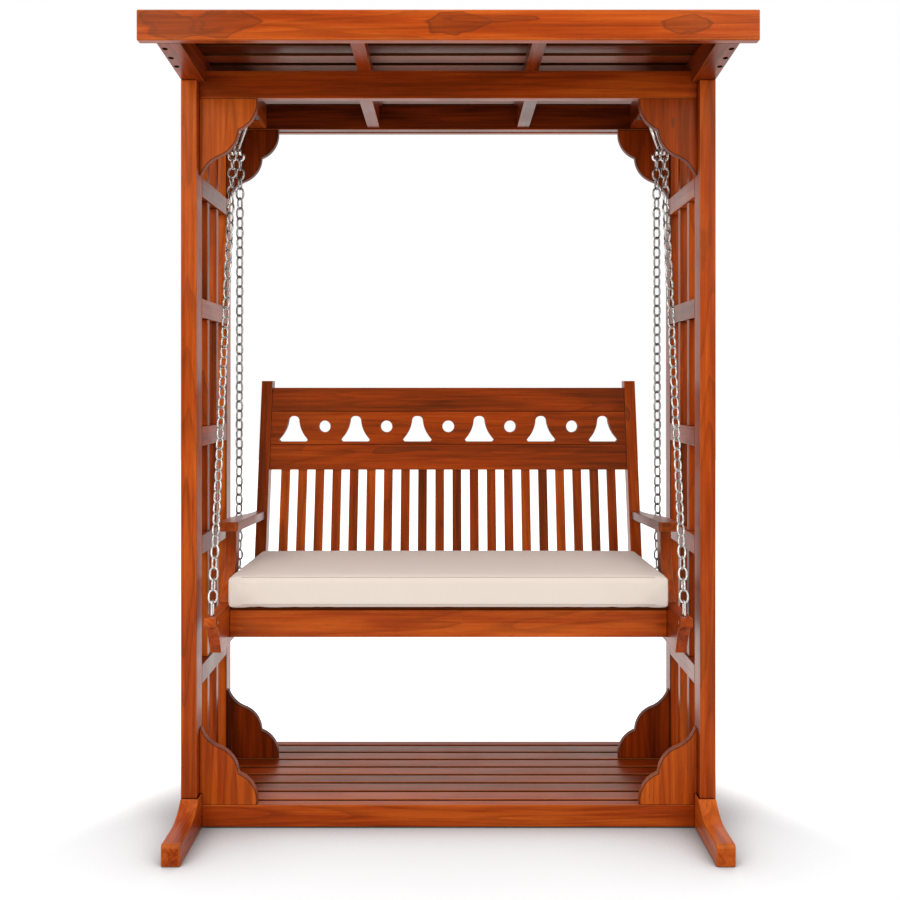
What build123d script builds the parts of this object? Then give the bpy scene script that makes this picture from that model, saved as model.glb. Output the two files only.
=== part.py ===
"""Two-seat jhoola: a bench hung on four chains in a slatted timber frame with a roof.

Millimetres. X is the width, Y runs from the front to the back, Z is up from the floor,
and the origin is on the floor under the middle of the frame.
"""
from build123d import *
from math import atan2, degrees, radians, sqrt, tan
import os

# ---- frame -----------------------------------------------------------------
FRAME_IN = 629.5            # half of the clear width between the posts
POST_W = 39.5
POST_D = 55.0
FRAME_DEPTH = 386.0         # over both posts of one side
POST_TOP = 1885.0
FRONT = -FRAME_DEPTH / 2
BACK = FRAME_DEPTH / 2
FRAME_OUT = FRAME_IN + POST_W
MEMBER_SETBACK = 28.0       # beams and platform rails, behind the posts' outer faces

BEAM_LOW = 1846.0
BEAM_HIGH = 1916.0
BEAM_T = 26.0

SIDE_RAIL_H = 48.0
SIDE_RAIL_T = 32.0
SIDE_RAIL_Z = (381.0, 712.0, 989.0, 1318.0, 1628.0, 1850.0)
SIDE_SLAT = 22.0
SIDE_SLATS = 2
SIDE_SLAT_SETBACK = 5.0     # behind the posts' inner faces

FOOT_LENGTH = 734.0
FOOT_W = 46.0               # flush with the post outside, proud of it inside
FOOT_TOE_H = 53.0
FOOT_SHOULDER_H = 88.0
FOOT_IN = FRAME_OUT - FOOT_W
FOOT_TOE_L = 78.0
FOOT_TOE_CUT = 6.0          # corner cut off each toe, and flat left in front of each post
FOOT_SWEEP = (56.0, 11.0)   # middle of the sweep, behind and above the toe
POST_FOOT_Z = 46.0          # underside of the post in its mortise

# ---- platform --------------------------------------------------------------
PLATFORM_TOP = 59.0
PLATFORM_RAIL_LOW = 4.0
PLATFORM_RAIL_T = 26.0
PLATFORM_BACK = 277.0
PLATFORM_SLATS = 7
PLATFORM_SLAT_GAP = 10.0
PLATFORM_SLAT_T = 18.0
BEARER_W = 40.0
BEARER_X = 430.0

# ---- shaped brackets -------------------------------------------------------
BRACKET_REACH = 145.0
BRACKET_DROP = 194.0
BRACKET_T = 22.0
BRACKET_LOBE = (133.0, -51.0)
BRACKET_CUSP = (98.0, -78.7)
BRACKET_BELLY = (87.0, -114.0)
BRACKET_TURN = (54.0, -143.0)
BRACKET_HOLLOW = (20.0, -165.0)
BRACKET_TIP_W = 3.0

# ---- roof ------------------------------------------------------------------
ROOF_DEPTH = 844.0
ROOF_WIDTH = 1414.0
ROOF_TOP = 1973.0
FASCIA_H = 70.0
FASCIA_T = 25.0
RAFTER_TOP = 1950.0
END_RAFTER_W = 55.0
MID_RAFTER_W = 34.0
MID_RAFTER_X = 212.0
MID_RAFTER_RAISE = 5.0      # its underside above that of the beams
RAFTER_TIP_RISE = 19.0
ROOF_SLATS = 11
ROOF_SLAT_W = 54.0
ROOF_SLAT_T = 13.0
ROOF_PANEL_T = 6.0
ROOF_END_INSET = 6.0        # of the slats and the board, from the edge boards' ends

# ---- hanging gear ----------------------------------------------------------
PIVOT_X = 573.0
PIVOT_Y = 7.6               # straight above the hanging bench's centre of gravity
PIVOT_Z = 1750.0
HANGER_BEAM_X = 541.0
HANGER_BEAM_W = 52.0
HANGER_BEAM_RAISE = 4.0     # its underside above that of the cross beams
HANGER_PLATE_W = 48.0
HANGER_PLATE_L = 64.0
HANGER_PLATE_T = 5.0
PIN_R = 4.5
PIN_END_R = 4.0             # to the flats of its ends, which are held in the straps
PIN_PLAY = 0.3
STRAP_T = 4.0
STRAP_W = 13.0
STRAP_PLAY = 1.0            # between the hooks' eye and each strap
STRAP_BEND = 10.0           # height above the pin at which the straps start to lean
EYE_W = 6.0
EYE_R = 9.5
HOOK_WIRE = 6.0
HOOK_R = 10.0               # middle of the bar round each hook's bend
HOOK_DROP = 12.0
HOOK_TIP_RISE = 7.0
LINK_WIRE = 4.6
LINK_W = 25.0
LINK_PITCH = 27.0
LINK_TWIST = 30.0           # degrees the middle of each chain is turned by
TWIST_LINKS = 6             # over which the turn comes and goes
LINK_PLAY = 0.35
END_PLAY = 0.9              # between an end link and the hook or eye it hangs on
EYE_WIRE = 5.0
EYE_PLAY = 0.3

# ---- bench -----------------------------------------------------------------
BENCH_BEAM_IN = 549.0
BENCH_BEAM_T = 28.0
BENCH_BEAM_OUT = BENCH_BEAM_IN + BENCH_BEAM_T
BENCH_BEAM_LOW = 473.0
BENCH_BEAM_HIGH = 570.0
NOSE_Y = -329.0
NOSE_LIP_H = 22.0
NOSE_SLOT_W = 7.0
NOSE_SLOT_L = 26.0
NOSE_SLOT_H = 30.0
TAIL_Y = 190.0
TAIL_CUT = 20.0
SEAT_RAIL_LOW = 488.0
SEAT_RAIL_HIGH = 556.0
SEAT_FRONT_Y = -184.0
SEAT_RAIL_T = 28.0
SEAT_SLATS = 5
SEAT_SLAT_W = 52.0
SEAT_SLAT_T = 14.5
SEAT_BEARER_X = 500.0
SEAT_BEARER_W = 30.0
SEAT_BEARER_RAISE = 10.0
BACK_SEAT_RAIL_STEP = 10.0  # in front of the legs

LEG_IN = 517.5
LEG_D = 44.0
LEG_TOP = 1133.0
LEAN = 12.27                # degrees the back leans from the vertical
LEG_FOOT_Y = 98.5           # front face of the leg at the underside of the side beam
BACK_RAIL_T = 22.0
BACK_RAIL_SETBACK = 4.0     # behind the legs' front faces
BACK_TOP = 1113.0
PANEL_HIGH = 1044.0
PANEL_LOW = 949.0
MID_RAIL_LOW = 876.0
LOW_RAIL_HIGH = 640.0
LOW_RAIL_LOW = 584.0
BACK_SLATS = 20
BACK_SLAT_W = 25.5
BACK_SLAT_T = 12.0
BACK_SLAT_PITCH = 49.6

BELLS = 6
BELL_PITCH = 180.5
BELL_BASE = 84.0
BELL_H = 74.0
BELL_DOME_R = 16.0
BELL_LIP = 5.0
BELL_WAIST_H = 34.0
BELL_RAISE = 7.0            # foot of the bells above the panel's lower edge
DOT_R = 17.0
DOT_RAISE = 44.0            # middle of the dots above the foot of the bells

ARM_T = 24.0
ARM_FRONT_Y = -206.0
ARM_FRONT_TOP = 780.0
ARM_BACK_TOP = 761.0
ARM_IN = 524.0
ARM_BACK_OUT = 551.0
ARM_WAIST_Y = -60.0         # where the outer edge starts to draw in
ARM_HOLLOW = (14.0, 30.0)   # how far in it is there, and at which Y
ARM_CORNER_IN = 4.0
ARM_CORNER_OUT = 8.0
ARM_PLAY = 0.2
SUPPORT_LOW_Y = (-166.0, -96.0)
SUPPORT_TOP_Y = (-106.0, -62.0)
SUPPORT_BOW_Y = (-121.0, -73.0)
SUPPORT_BOW_H = 80.0

CUSHION_HALF = 542.0
CUSHION_FRONT = -222.0
CUSHION_BACK = 112.0
CUSHION_LOW = 571.0
CUSHION_HIGH = 650.0
CUSHION_CORNER = 10.0
CUSHION_EDGE = 8.0

FRONT_EYE_Y = -303.0
FRONT_EYE_Z = 598.0         # centre of the eye's top bend
FRONT_BOLT_Z = BENCH_BEAM_HIGH - 16
BACK_EYE_Y = 136.0
BACK_EYE_Z = 545.0
BACK_EYE_X = BENCH_BEAM_OUT + 17.0
BACK_EYE_R = 9.0            # middle of the ring's wire
BOLT_R = 5.0
STEM_R = 4.0
NUT_R = 8.0                 # to the flats of every nut and bolt head
NUT_T = 5.0
COLLAR_T = 3.0

MIRROR = Plane.YZ


def block(x0, x1, y0, y1, z0, z1):
    """A square-edged timber between three pairs of planes."""
    size = (x1 - x0, y1 - y0, z1 - z0)
    middle = ((x0 + x1) / 2, (y0 + y1) / 2, (z0 + z1) / 2)
    return Pos(*middle) * Box(*size)


def mirrored(solid):
    """The piece on the +X side with its twin on the -X side."""
    return [solid, mirror(solid, about=MIRROR)]


def side_profile(points, x0, x1):
    """A closed polygon in the YZ plane, made solid from x0 to x1."""
    wire = Polyline(*[(0, y, z) for y, z in points], close=True)
    return extrude(Face(Wire(wire.edges())), x1 - x0, dir=(1, 0, 0)).moved(Location((x0, 0, 0)))


def side_outline(edges, x0, x1):
    """A closed outline of lines and arcs in the YZ plane, made solid from x0 to x1."""
    return extrude(Face(Wire(edges)), x1 - x0, dir=(1, 0, 0)).moved(Location((x0, 0, 0)))


def rod_x(x0, x1, y, z, radius):
    """A round bar along X."""
    bar = Cylinder(radius, x1 - x0, rotation=(0, 90, 0))
    return Pos((x0 + x1) / 2, y, z) * bar


def prism_x(sides, x0, x1, y, z, radius):
    """A bar along X with flat sides, given the radius to its flats."""
    bar = extrude(flat_sided(sides, radius), x1 - x0)
    return Pos(x0, y, z) * bar.rotate(Axis.Y, 90)


def flat_sided(sides, radius):
    """A regular face with one flat square to its Y axis, given the radius to its flats."""
    return RegularPolygon(radius, sides, major_radius=False, rotation=180 / sides)


def save(name, pieces):
    """Write one node of one or more separate solids."""
    pieces = pieces if isinstance(pieces, list) else [pieces]
    solids = [solid for piece in pieces for solid in piece.solids()]
    export_step(Compound(children=solids), f"parts/{name}.step")


# ---- frame pieces ----------------------------------------------------------
def post(front_face):
    """One square post, standing in the foot's mortise."""
    return block(FRAME_IN, FRAME_OUT, front_face, front_face + POST_D, POST_FOOT_Z, POST_TOP)


def foot():
    """Foot rail with a raised middle, swept down to a low toe at each end."""
    half = FOOT_LENGTH / 2
    cut = FOOT_TOE_CUT
    shoulder = FRAME_DEPTH / 2 + cut
    toe = half - FOOT_TOE_L
    sweep_y, sweep_z = toe - FOOT_SWEEP[0], FOOT_TOE_H + FOOT_SWEEP[1]
    edges = [
        Line((0, -half, 0), (0, half, 0)),
        Line((0, shoulder, FOOT_SHOULDER_H), (0, -shoulder, FOOT_SHOULDER_H)),
    ]
    for side in (-1, 1):
        edges += [
            Line((0, side * half, 0), (0, side * half, FOOT_TOE_H - cut)),
            Line((0, side * half, FOOT_TOE_H - cut), (0, side * (half - cut), FOOT_TOE_H)),
            Line((0, side * (half - cut), FOOT_TOE_H), (0, side * toe, FOOT_TOE_H)),
            ThreePointArc((0, side * toe, FOOT_TOE_H), (0, side * sweep_y, sweep_z),
                          (0, side * shoulder, FOOT_SHOULDER_H)),
        ]
    rail = side_outline(edges, FOOT_IN, FRAME_OUT)
    for front_face in (FRONT, BACK - POST_D):
        rail -= block(FRAME_IN, FRAME_OUT + 1, front_face, front_face + POST_D,
                      POST_FOOT_Z, FOOT_SHOULDER_H + 1)
    return rail


def side_rails():
    """Horizontal rails between the two posts of one side."""
    rails = []
    for z in SIDE_RAIL_Z:
        rails.append(block(FRAME_IN, FRAME_IN + SIDE_RAIL_T, FRONT + POST_D, BACK - POST_D,
                           z - SIDE_RAIL_H / 2, z + SIDE_RAIL_H / 2))
    return rails


def side_slats():
    """Square slats standing between the rails of one side."""
    clear = FRAME_DEPTH - 2 * POST_D
    gap = (clear - SIDE_SLATS * SIDE_SLAT) / (SIDE_SLATS + 1)
    tops = [z - SIDE_RAIL_H / 2 for z in SIDE_RAIL_Z]
    bottoms = [FOOT_SHOULDER_H] + [z + SIDE_RAIL_H / 2 for z in SIDE_RAIL_Z[:-1]]
    inner = FRAME_IN + SIDE_SLAT_SETBACK
    slats = []
    for low, high in zip(bottoms, tops):
        for n in range(SIDE_SLATS):
            y = FRONT + POST_D + gap + n * (SIDE_SLAT + gap)
            slats.append(block(inner, inner + SIDE_SLAT, y, y + SIDE_SLAT, low, high))
    return slats


def bracket():
    """Corner bracket outline: two round lobes with a cusp between, then a hollow tip.

    It is drawn with its corner at the origin, reaching along +X and down -Z.
    """
    corner, end, tip = (0, 0), (BRACKET_REACH, 0), (BRACKET_TIP_W, -BRACKET_DROP)
    curves = [(end, BRACKET_LOBE, BRACKET_CUSP), (BRACKET_CUSP, BRACKET_BELLY, BRACKET_TURN),
              (BRACKET_TURN, BRACKET_HOLLOW, tip)]
    straights = [(corner, end), (tip, (0, -BRACKET_DROP)), ((0, -BRACKET_DROP), corner)]
    edges = [ThreePointArc(*[(x, 0, z) for x, z in curve]) for curve in curves]
    edges += [Line(*[(x, 0, z) for x, z in straight]) for straight in straights]
    return extrude(Face(Wire(edges)), BRACKET_T, dir=(0, 1, 0))


def corner_brackets(y, z, upside_down):
    """The left and right bracket at one beam or platform rail."""
    shape = bracket()
    if upside_down:
        shape = mirror(shape, about=Plane.XY)
    shape = Pos(FRAME_IN, y, z) * mirror(shape, about=MIRROR)
    if upside_down:
        shape -= block(FOOT_IN, FRAME_IN, y, y + BRACKET_T, 0, FOOT_SHOULDER_H)
    return mirrored(shape)


def beam(y):
    """Cross beam between two posts."""
    return block(-FRAME_IN, FRAME_IN, y, y + BEAM_T, BEAM_LOW, BEAM_HIGH)


def hanger_beam():
    """Front-to-back beam over the swing's pivot, between the two cross beams."""
    half = HANGER_BEAM_W / 2
    low = FRONT + MEMBER_SETBACK + BEAM_T
    return block(HANGER_BEAM_X - half, HANGER_BEAM_X + half, low, -low,
                 BEAM_LOW + HANGER_BEAM_RAISE, BEAM_HIGH)


# ---- roof ------------------------------------------------------------------
def fascia(sign):
    """Roof edge board with softened edges, at the front or the back."""
    face = sign * ROOF_DEPTH / 2
    low, high = sorted((face, face - sign * FASCIA_T))
    board = block(-ROOF_WIDTH / 2, ROOF_WIDTH / 2, low, high, ROOF_TOP - FASCIA_H, ROOF_TOP)
    return chamfer(board.edges().filter_by(Axis.X), 2.0)


def end_rafter():
    """Rafter on the two posts of one side, thinned towards both roof edges."""
    end = ROOF_DEPTH / 2 - FASCIA_T
    tip = POST_TOP + RAFTER_TIP_RISE
    points = [(-end, tip), (FRONT, POST_TOP), (BACK, POST_TOP), (end, tip),
              (end, RAFTER_TOP), (-end, RAFTER_TOP)]
    rafter = side_profile(points, FRAME_OUT - END_RAFTER_W, FRAME_OUT)
    low = FRONT + MEMBER_SETBACK
    for y in (low, -low - BEAM_T):
        rafter -= block(FRAME_OUT - END_RAFTER_W - 1, FRAME_IN, y, y + BEAM_T, POST_TOP - 1, BEAM_HIGH)
    return rafter


def mid_rafter():
    """Rafter that rests on the two cross beams and fills the height between them."""
    end = ROOF_DEPTH / 2 - FASCIA_T
    low_x, high_x = MID_RAFTER_X - MID_RAFTER_W / 2, MID_RAFTER_X + MID_RAFTER_W / 2
    beam_back = FRONT + MEMBER_SETBACK + BEAM_T
    rafter = block(low_x, high_x, -end, end, BEAM_HIGH, RAFTER_TOP)
    return rafter + block(low_x, high_x, beam_back, -beam_back, BEAM_LOW + MID_RAFTER_RAISE, BEAM_HIGH)


def roof_slats():
    """Slats along the roof, evenly spaced over the rafters."""
    end = ROOF_DEPTH / 2 - FASCIA_T
    pitch = (2 * end - ROOF_SLAT_W) / (ROOF_SLATS - 1)
    half = ROOF_WIDTH / 2 - ROOF_END_INSET
    slats = []
    for n in range(ROOF_SLATS):
        y = -end + n * pitch
        slats.append(block(-half, half, y, y + ROOF_SLAT_W, RAFTER_TOP, RAFTER_TOP + ROOF_SLAT_T))
    return slats


def roof_panel():
    """Thin board over the slats."""
    end = ROOF_DEPTH / 2 - FASCIA_T
    half = ROOF_WIDTH / 2 - ROOF_END_INSET
    low = RAFTER_TOP + ROOF_SLAT_T
    return block(-half, half, -end, end, low, low + ROOF_PANEL_T)


# ---- platform --------------------------------------------------------------
def platform_rail(y):
    """Edge rail of the platform between the feet."""
    return block(-FOOT_IN, FOOT_IN, y, y + PLATFORM_RAIL_T, PLATFORM_RAIL_LOW, PLATFORM_TOP)


def platform_slats():
    """Floor slats between the front and the back rail."""
    front = FRONT + MEMBER_SETBACK + PLATFORM_RAIL_T
    back = PLATFORM_BACK - PLATFORM_RAIL_T
    pitch = (back - front - PLATFORM_SLAT_GAP) / PLATFORM_SLATS
    slats = []
    for n in range(PLATFORM_SLATS):
        y = front + PLATFORM_SLAT_GAP + n * pitch
        slats.append(block(-FOOT_IN, FOOT_IN, y, y + pitch - PLATFORM_SLAT_GAP,
                           PLATFORM_TOP - PLATFORM_SLAT_T, PLATFORM_TOP))
    return slats


def platform_bearers():
    """Cross bearers under the floor slats."""
    front = FRONT + MEMBER_SETBACK + PLATFORM_RAIL_T
    back = PLATFORM_BACK - PLATFORM_RAIL_T
    top = PLATFORM_TOP - PLATFORM_SLAT_T
    bearers = []
    for x in (-BEARER_X, 0.0, BEARER_X):
        bearers.append(block(x - BEARER_W / 2, x + BEARER_W / 2, front, back, PLATFORM_RAIL_LOW, top))
    return bearers


# ---- hanging gear ----------------------------------------------------------
def hanger():
    """Steel hanger: a plate under its beam and two leaning straps that carry the pin."""
    plate_high = BEAM_LOW + HANGER_BEAM_RAISE
    plate_low = plate_high - HANGER_PLATE_T
    front, back = PIVOT_Y - STRAP_W / 2, PIVOT_Y + STRAP_W / 2
    bend_z = PIVOT_Z + STRAP_BEND
    half_w, half_l = HANGER_PLATE_W / 2, HANGER_PLATE_L / 2
    body = block(HANGER_BEAM_X - half_w, HANGER_BEAM_X + half_w, PIVOT_Y - half_l, PIVOT_Y + half_l,
                 plate_low, plate_high)
    inner = EYE_W / 2 + STRAP_PLAY
    for near, far in ((-inner - STRAP_T, -inner), (inner, inner + STRAP_T)):
        points = [(PIVOT_X + near, bend_z), (PIVOT_X + far, bend_z),
                  (HANGER_BEAM_X + far, plate_high), (HANGER_BEAM_X + near, plate_high)]
        outline = Polyline(*[(x, front, z) for x, z in points], close=True)
        body += extrude(Face(Wire(outline.edges())), STRAP_W, dir=(0, 1, 0))
        body += block(PIVOT_X + near, PIVOT_X + far, front, back, PIVOT_Z - STRAP_W / 2, bend_z)
    reach = inner + 2 * STRAP_T
    return body - prism_x(8, PIVOT_X - reach, PIVOT_X + reach, PIVOT_Y, PIVOT_Z, PIN_END_R)


def pivot_pin():
    """Pin held by its flats in both straps, round where the hook turns on it."""
    inner = EYE_W / 2 + STRAP_PLAY
    half = inner + STRAP_T
    pin = rod_x(PIVOT_X - inner, PIVOT_X + inner, PIVOT_Y, PIVOT_Z, PIN_R)
    pin += prism_x(8, PIVOT_X + inner, PIVOT_X + half, PIVOT_Y, PIVOT_Z, PIN_END_R)
    pin += prism_x(8, PIVOT_X - half, PIVOT_X - inner, PIVOT_Y, PIVOT_Z, PIN_END_R)
    pin += prism_x(6, PIVOT_X + half, PIVOT_X + half + NUT_T, PIVOT_Y, PIVOT_Z, NUT_R)
    pin += prism_x(6, PIVOT_X - half - NUT_T, PIVOT_X - half, PIVOT_Y, PIVOT_Z, NUT_R)
    return pin


def double_hook():
    """Eye on the pin with two hooks below it, bent from square bar, one for each chain."""
    half = HOOK_WIRE / 2
    arch = flat_sided(8, HOOK_R + half) - flat_sided(8, HOOK_R - half)
    arch = extrude(split(arch, bisect_by=Plane.XZ, keep=Keep.TOP), half, both=True).rotate(Axis.X, 90)
    bend_z = PIVOT_Z - HOOK_DROP
    hook = prism_x(8, PIVOT_X - EYE_W / 2, PIVOT_X + EYE_W / 2, PIVOT_Y, PIVOT_Z, EYE_R)
    hook += block(PIVOT_X - half, PIVOT_X + half, PIVOT_Y - half, PIVOT_Y + half, bend_z, PIVOT_Z)
    for side in (-1, 1):
        hook += Pos(PIVOT_X + side * HOOK_R, PIVOT_Y, bend_z) * arch
        tip = PIVOT_X + side * 2 * HOOK_R
        hook += block(tip - half, tip + half, PIVOT_Y - half, PIVOT_Y + half, bend_z,
                      bend_z + HOOK_TIP_RISE)
    return hook - rod_x(PIVOT_X - EYE_W, PIVOT_X + EYE_W, PIVOT_Y, PIVOT_Z, PIN_R + PIN_PLAY)


def link(length):
    """One chain link along Z: a long ring of square bar."""
    outer = Rectangle(LINK_W, length)
    hole = Rectangle(LINK_W - 2 * LINK_WIRE, length - 2 * LINK_WIRE)
    return extrude(outer - hole, LINK_WIRE / 2, both=True).rotate(Axis.X, 90)


def chain(hook, eye, last_across):
    """Taut links from a hook's bend to an eye's top bend, each turned against the last.

    Both ends are given as the middle of the wire there. The first link stands in the YZ plane.
    The last stands across it, in the XZ plane, when last_across is true.
    """
    span = Vector(*eye) - Vector(*hook)
    along = span.normalized()
    top = Vector(*hook) - along * ((HOOK_WIRE + LINK_WIRE) / 2 + END_PLAY)
    bottom = Vector(*eye) + along * ((EYE_WIRE + LINK_WIRE) / 2 + END_PLAY)
    run = (bottom - top).length
    count = round((run - LINK_WIRE) / LINK_PITCH)
    if (count % 2 == 0) != last_across:
        count += 1
    pitch = (run - LINK_WIRE - LINK_PLAY) / count
    centre_length = pitch + LINK_WIRE + LINK_PLAY
    one = link(centre_length + LINK_WIRE)
    lean_side = degrees(atan2(along.X, sqrt(along.Y ** 2 + along.Z ** 2)))
    lean_back = degrees(atan2(along.Y, -along.Z))
    links = []
    for n in range(count):
        twist = LINK_TWIST * min(n, count - 1 - n, TWIST_LINKS) / TWIST_LINKS
        turned = one.rotate(Axis.Z, twist if n % 2 else 90 + twist)
        turned = turned.rotate(Axis.Y, -lean_side).rotate(Axis.X, lean_back)
        links.append(turned.moved(Location(top + along * (centre_length / 2 + n * pitch))))
    return links


def front_eye():
    """Long eye that stands in a slot in the nose of the side beam, round the cross bolt."""
    middle = BENCH_BEAM_IN + BENCH_BEAM_T / 2
    hole_r = BOLT_R + EYE_PLAY
    outer = side_profile(long_ring(hole_r + EYE_WIRE), middle - EYE_WIRE / 2, middle + EYE_WIRE / 2)
    return outer - side_profile(long_ring(hole_r), middle - EYE_WIRE, middle + EYE_WIRE)


def long_ring(radius):
    """Points round the front eye at a distance from its middle line, with bevelled bends."""
    cut = radius * tan(radians(22.5))
    y, low, high = FRONT_EYE_Y, FRONT_BOLT_Z, FRONT_EYE_Z
    return [(y - radius, low - cut), (y - radius, high + cut), (y - cut, high + radius),
            (y + cut, high + radius), (y + radius, high + cut), (y + radius, low - cut),
            (y + cut, low - radius), (y - cut, low - radius)]


def front_bolt():
    """Cross pin through the nose, flush with both faces."""
    return prism_x(8, BENCH_BEAM_IN, BENCH_BEAM_OUT, FRONT_EYE_Y, FRONT_BOLT_Z, BOLT_R)


def back_eye():
    """Eye bolt through the side beam and the back leg, with its ring outside."""
    stem = prism_x(8, LEG_IN, BENCH_BEAM_OUT, BACK_EYE_Y, BACK_EYE_Z, STEM_R)
    collar = prism_x(6, BENCH_BEAM_OUT, BENCH_BEAM_OUT + COLLAR_T, BACK_EYE_Y, BACK_EYE_Z, NUT_R)
    nut = prism_x(6, LEG_IN - NUT_T, LEG_IN, BACK_EYE_Y, BACK_EYE_Z, NUT_R)
    half = EYE_WIRE / 2
    ring = flat_sided(8, BACK_EYE_R + half) - flat_sided(8, BACK_EYE_R - half)
    ring = extrude(ring, half, both=True).rotate(Axis.X, 90)
    neck = block(BENCH_BEAM_OUT, BACK_EYE_X - BACK_EYE_R, BACK_EYE_Y - half, BACK_EYE_Y + half,
                 BACK_EYE_Z - half, BACK_EYE_Z + half)
    return stem + collar + nut + neck + Pos(BACK_EYE_X, BACK_EYE_Y, BACK_EYE_Z) * ring


# ---- bench -----------------------------------------------------------------
def bench_beam():
    """Side beam of the bench, with a scrolled nose in front and a rounded tail."""
    low, high = BENCH_BEAM_LOW, BENCH_BEAM_HIGH
    nose, tail = NOSE_Y, TAIL_Y
    cut = TAIL_CUT
    lip = high - NOSE_LIP_H
    edges = [
        Line((0, nose + 4, high), (0, tail - cut, high)),
        Line((0, tail - cut, high), (0, tail, high - cut)),
        Line((0, tail, high - cut), (0, tail, low + cut)),
        Line((0, tail, low + cut), (0, tail - cut, low)),
        Line((0, tail - cut, low), (0, nose + 57, low)),
        ThreePointArc((0, nose + 57, low), (0, nose + 46, low + 24), (0, nose + 24, lip - 10)),
        ThreePointArc((0, nose + 24, lip - 10), (0, nose + 14, lip - 5), (0, nose + 6, lip - 2)),
        ThreePointArc((0, nose + 6, lip - 2), (0, nose + 1, lip + 2), (0, nose, lip + 7)),
        Line((0, nose, lip + 7), (0, nose, high - 4)),
        ThreePointArc((0, nose, high - 4), (0, nose + 1.2, high - 1.2), (0, nose + 4, high)),
    ]
    beam_solid = side_outline(edges, BENCH_BEAM_IN, BENCH_BEAM_OUT)
    middle = BENCH_BEAM_IN + BENCH_BEAM_T / 2
    half_w, half_l = NOSE_SLOT_W / 2, NOSE_SLOT_L / 2
    beam_solid -= block(middle - half_w, middle + half_w, FRONT_EYE_Y - half_l, FRONT_EYE_Y + half_l,
                        high - NOSE_SLOT_H, high + 1)
    beam_solid -= prism_x(8, BENCH_BEAM_IN - 1, BENCH_BEAM_OUT + 1, FRONT_EYE_Y, FRONT_BOLT_Z, BOLT_R)
    return beam_solid - prism_x(8, BENCH_BEAM_IN - 1, BENCH_BEAM_OUT + 1, BACK_EYE_Y, BACK_EYE_Z, STEM_R)


def back_face(z):
    """Y of the leg's front face at a height."""
    return LEG_FOOT_Y + (z - BENCH_BEAM_LOW) * tan(radians(LEAN))


def leaning(x0, x1, z0, z1, recess, thickness):
    """A board in the plane of the back, between two heights, behind its front face."""
    points = [(back_face(z0) + recess, z0), (back_face(z1) + recess, z1),
              (back_face(z1) + recess + thickness, z1), (back_face(z0) + recess + thickness, z0)]
    return side_profile(points, x0, x1)


def back_rail(z0, z1):
    """A rail or panel of the back between the two legs."""
    return leaning(-LEG_IN, LEG_IN, z0, z1, BACK_RAIL_SETBACK, BACK_RAIL_T)


def back_leg():
    """Leaning leg inside the side beam, from its underside to above the top rail."""
    leg = leaning(LEG_IN, BENCH_BEAM_IN, BENCH_BEAM_LOW, LEG_TOP, 0, LEG_D)
    return leg - prism_x(8, LEG_IN - 1, BENCH_BEAM_IN + 1, BACK_EYE_Y, BACK_EYE_Z, STEM_R)


def bell():
    """Bell outline in the XZ plane, base on the X axis, made a cutter along Y."""
    half, top = BELL_BASE / 2, BELL_H
    lip, dome = BELL_LIP, BELL_DOME_R
    rim, shoulder = half - lip * 0.6, top - dome * 0.9
    edges = []
    for side in (-1, 1):
        edges += [
            Line((0, 0, 0), (side * (half - lip), 0, 0)),
            Line((side * (half - lip), 0, 0), (side * half, 0, lip)),
            Line((side * half, 0, lip), (side * rim, 0, lip * 2)),
            ThreePointArc((side * rim, 0, lip * 2), (side * (dome + 7), 0, BELL_WAIST_H),
                          (side * dome, 0, shoulder)),
            ThreePointArc((side * dome, 0, shoulder), (side * dome * 0.72, 0, top - dome * 0.22),
                          (0, 0, top)),
        ]
    return extrude(Face(Wire(edges)), 60, both=True)


def pierced_panel():
    """Back panel with a row of bell cut-outs and a round dot between each pair."""
    panel = back_rail(PANEL_LOW, PANEL_HIGH)
    base = PANEL_LOW + BELL_RAISE
    middle_y = back_face((PANEL_LOW + PANEL_HIGH) / 2) + BACK_RAIL_SETBACK + BACK_RAIL_T / 2
    first = -BELL_PITCH * (BELLS - 1) / 2
    cutter = bell()
    dot = Cylinder(DOT_R, 120, rotation=(90, 0, 0))
    for n in range(BELLS):
        panel -= Pos(first + n * BELL_PITCH, middle_y, base) * cutter
    for n in range(BELLS - 1):
        panel -= Pos(first + (n + 0.5) * BELL_PITCH, middle_y, base + DOT_RAISE) * dot
    return panel


def back_slats():
    """Upright slats of the back, between the middle and the lower rail."""
    first = -BACK_SLAT_PITCH * (BACK_SLATS - 1) / 2
    recess = BACK_RAIL_SETBACK + (BACK_RAIL_T - BACK_SLAT_T) / 2
    slats = []
    for n in range(BACK_SLATS):
        x = first + n * BACK_SLAT_PITCH
        slats.append(leaning(x - BACK_SLAT_W / 2, x + BACK_SLAT_W / 2, LOW_RAIL_HIGH, MID_RAIL_LOW,
                             recess, BACK_SLAT_T))
    return slats


def arm_top(y):
    """Height of the armrest's upper face."""
    rise = (ARM_BACK_TOP - ARM_FRONT_TOP) / (back_face(ARM_BACK_TOP) - ARM_FRONT_Y)
    return ARM_FRONT_TOP + (y - ARM_FRONT_Y) * rise


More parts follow.
